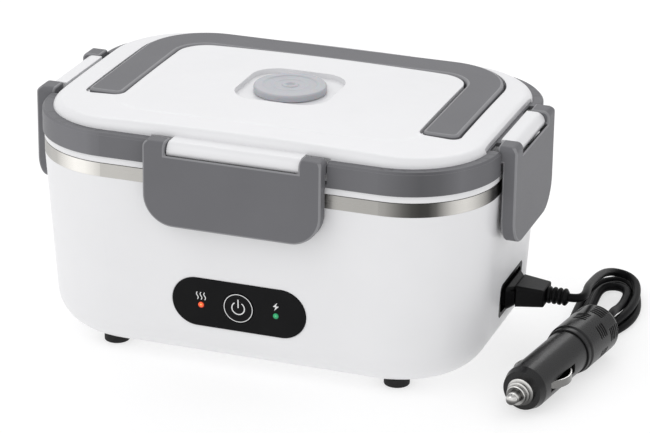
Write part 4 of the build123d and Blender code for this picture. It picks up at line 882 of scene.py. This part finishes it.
# the spring behind the tip, which is pressed shorter as the tip goes in
SPRING_FRONT, SPRING_BACK, SPRING_ANCHOR = 13.9, 23.65, 24.0
SPRING_RADIUS, SPRING_WIRE, SPRING_TURNS = 2.7, 0.35, 7
SPRING_EASE = 0.06  # the turns lie closer in the middle than at the ends
TURN_STEPS, WIRE_SIDES = 28, 10
bm = bmesh.new()
rings = []
for i in range(SPRING_TURNS * TURN_STEPS + 1):
    turned = 2 * math.pi * i / TURN_STEPS
    run = i / (SPRING_TURNS * TURN_STEPS)
    ease = run + SPRING_EASE * math.sin(2 * math.pi * run)
    ring = []
    for k in range(WIRE_SIDES):
        round_wire = 2 * math.pi * k / WIRE_SIDES
        r = SPRING_RADIUS + SPRING_WIRE * math.cos(round_wire)
        z = SPRING_FRONT + (SPRING_BACK - SPRING_FRONT) * ease + SPRING_WIRE * math.sin(round_wire)
        ring.append(bm.verts.new(PLUG @ Vector((r * math.cos(turned), r * math.sin(turned), z))))
    rings.append(ring)
for below, above in zip(rings, rings[1:]):
    for k in range(WIRE_SIDES):
        n = (k + 1) % WIRE_SIDES
        bm.faces.new((below[k], below[n], above[n], above[k]))
bm.faces.new(rings[0][::-1])
bm.faces.new(rings[-1])
spring = as_object(bm, "tip_spring_coil", "cord", "spring_steel", "tip_spring")
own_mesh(spring)

# ------------------------------------------------------------------ floor
FLOOR_HALF = 4  # metres
floor_mesh = bpy.data.meshes.new("floor")
floor_mesh.from_pydata(
    [(x * FLOOR_HALF, y * FLOOR_HALF, 0) for x, y in ((-1, -1), (1, -1), (1, 1), (-1, 1))],
    [], [(0, 1, 2, 3)]
)
floor = bpy.data.objects.new("floor", floor_mesh)
scene.collection.objects.link(floor)
pale_floor = surface(
    "pale_floor", (0.42, 0.42, 0.42), 0.9, grain=300, depth=0.01, mottle=0.006, edge=0,
    Specular_IOR_Level=0.1, Emission_Color=(1, 1, 1, 1), Emission_Strength=0.62
)
# seen from below, the floor is clear
floor_tree = pale_floor.node_tree
side_seen = floor_tree.nodes.new("ShaderNodeNewGeometry")
clear = floor_tree.nodes.new("ShaderNodeBsdfTransparent")
either = floor_tree.nodes.new("ShaderNodeMixShader")
opaque = floor_tree.nodes["Principled BSDF"]
floor_tree.links.new(side_seen.outputs["Backfacing"], either.inputs["Fac"])
floor_tree.links.new(opaque.outputs["BSDF"], either.inputs[1])
floor_tree.links.new(clear.outputs["BSDF"], either.inputs[2])
floor_tree.links.new(
    either.outputs["Shader"], floor_tree.nodes["Material Output"].inputs["Surface"]
)
floor_mesh.materials.append(pale_floor)

# ------------------------------------------------------------------ world and lights
# white all round, a little darker to the right and overhead
SKY_WHITE, SKY_RIGHT, SKY_TOP = (1.0, 1.0, 1.0), (0.72, 0.72, 0.73), (0.88, 0.88, 0.89)
world = bpy.data.worlds.new("studio")
scene.world = world
world.use_nodes = True
sky = world.node_tree
background = sky.nodes["Background"]
background.inputs["Strength"].default_value = 1.0
direction = axes(sky, "Generated")
to_right = map_range(sky, direction["X"], (0.1, 1.0), smooth=True)
to_top = map_range(sky, direction["Z"], (0.1, 0.9), smooth=True)
sky_side = mixed(sky, to_right, SKY_WHITE, SKY_RIGHT)
sky.links.new(mixed(sky, to_top, sky_side, SKY_TOP), background.inputs["Color"])


def softbox(name, place, target, size, power):
    """A rectangular area light aimed at a point."""
    light = bpy.data.lights.new(name, "AREA")
    light.shape = "RECTANGLE"
    light.size, light.size_y = size
    light.energy = power
    lamp = bpy.data.objects.new(name, light)
    scene.collection.objects.link(lamp)
    lamp.location = place
    lamp.rotation_mode = "QUATERNION"
    lamp.rotation_quaternion = (Vector(target) - Vector(place)).to_track_quat("-Z", "Y")


softbox("key_light", (-0.7, -0.9, 1.5), (0, 0, 0.05), (1.2, 1.2), power=4)
softbox("back_light", (-0.35, 1.5, 1.25), (0.02, 0, 0.05), (1.4, 0.45), power=4.5)
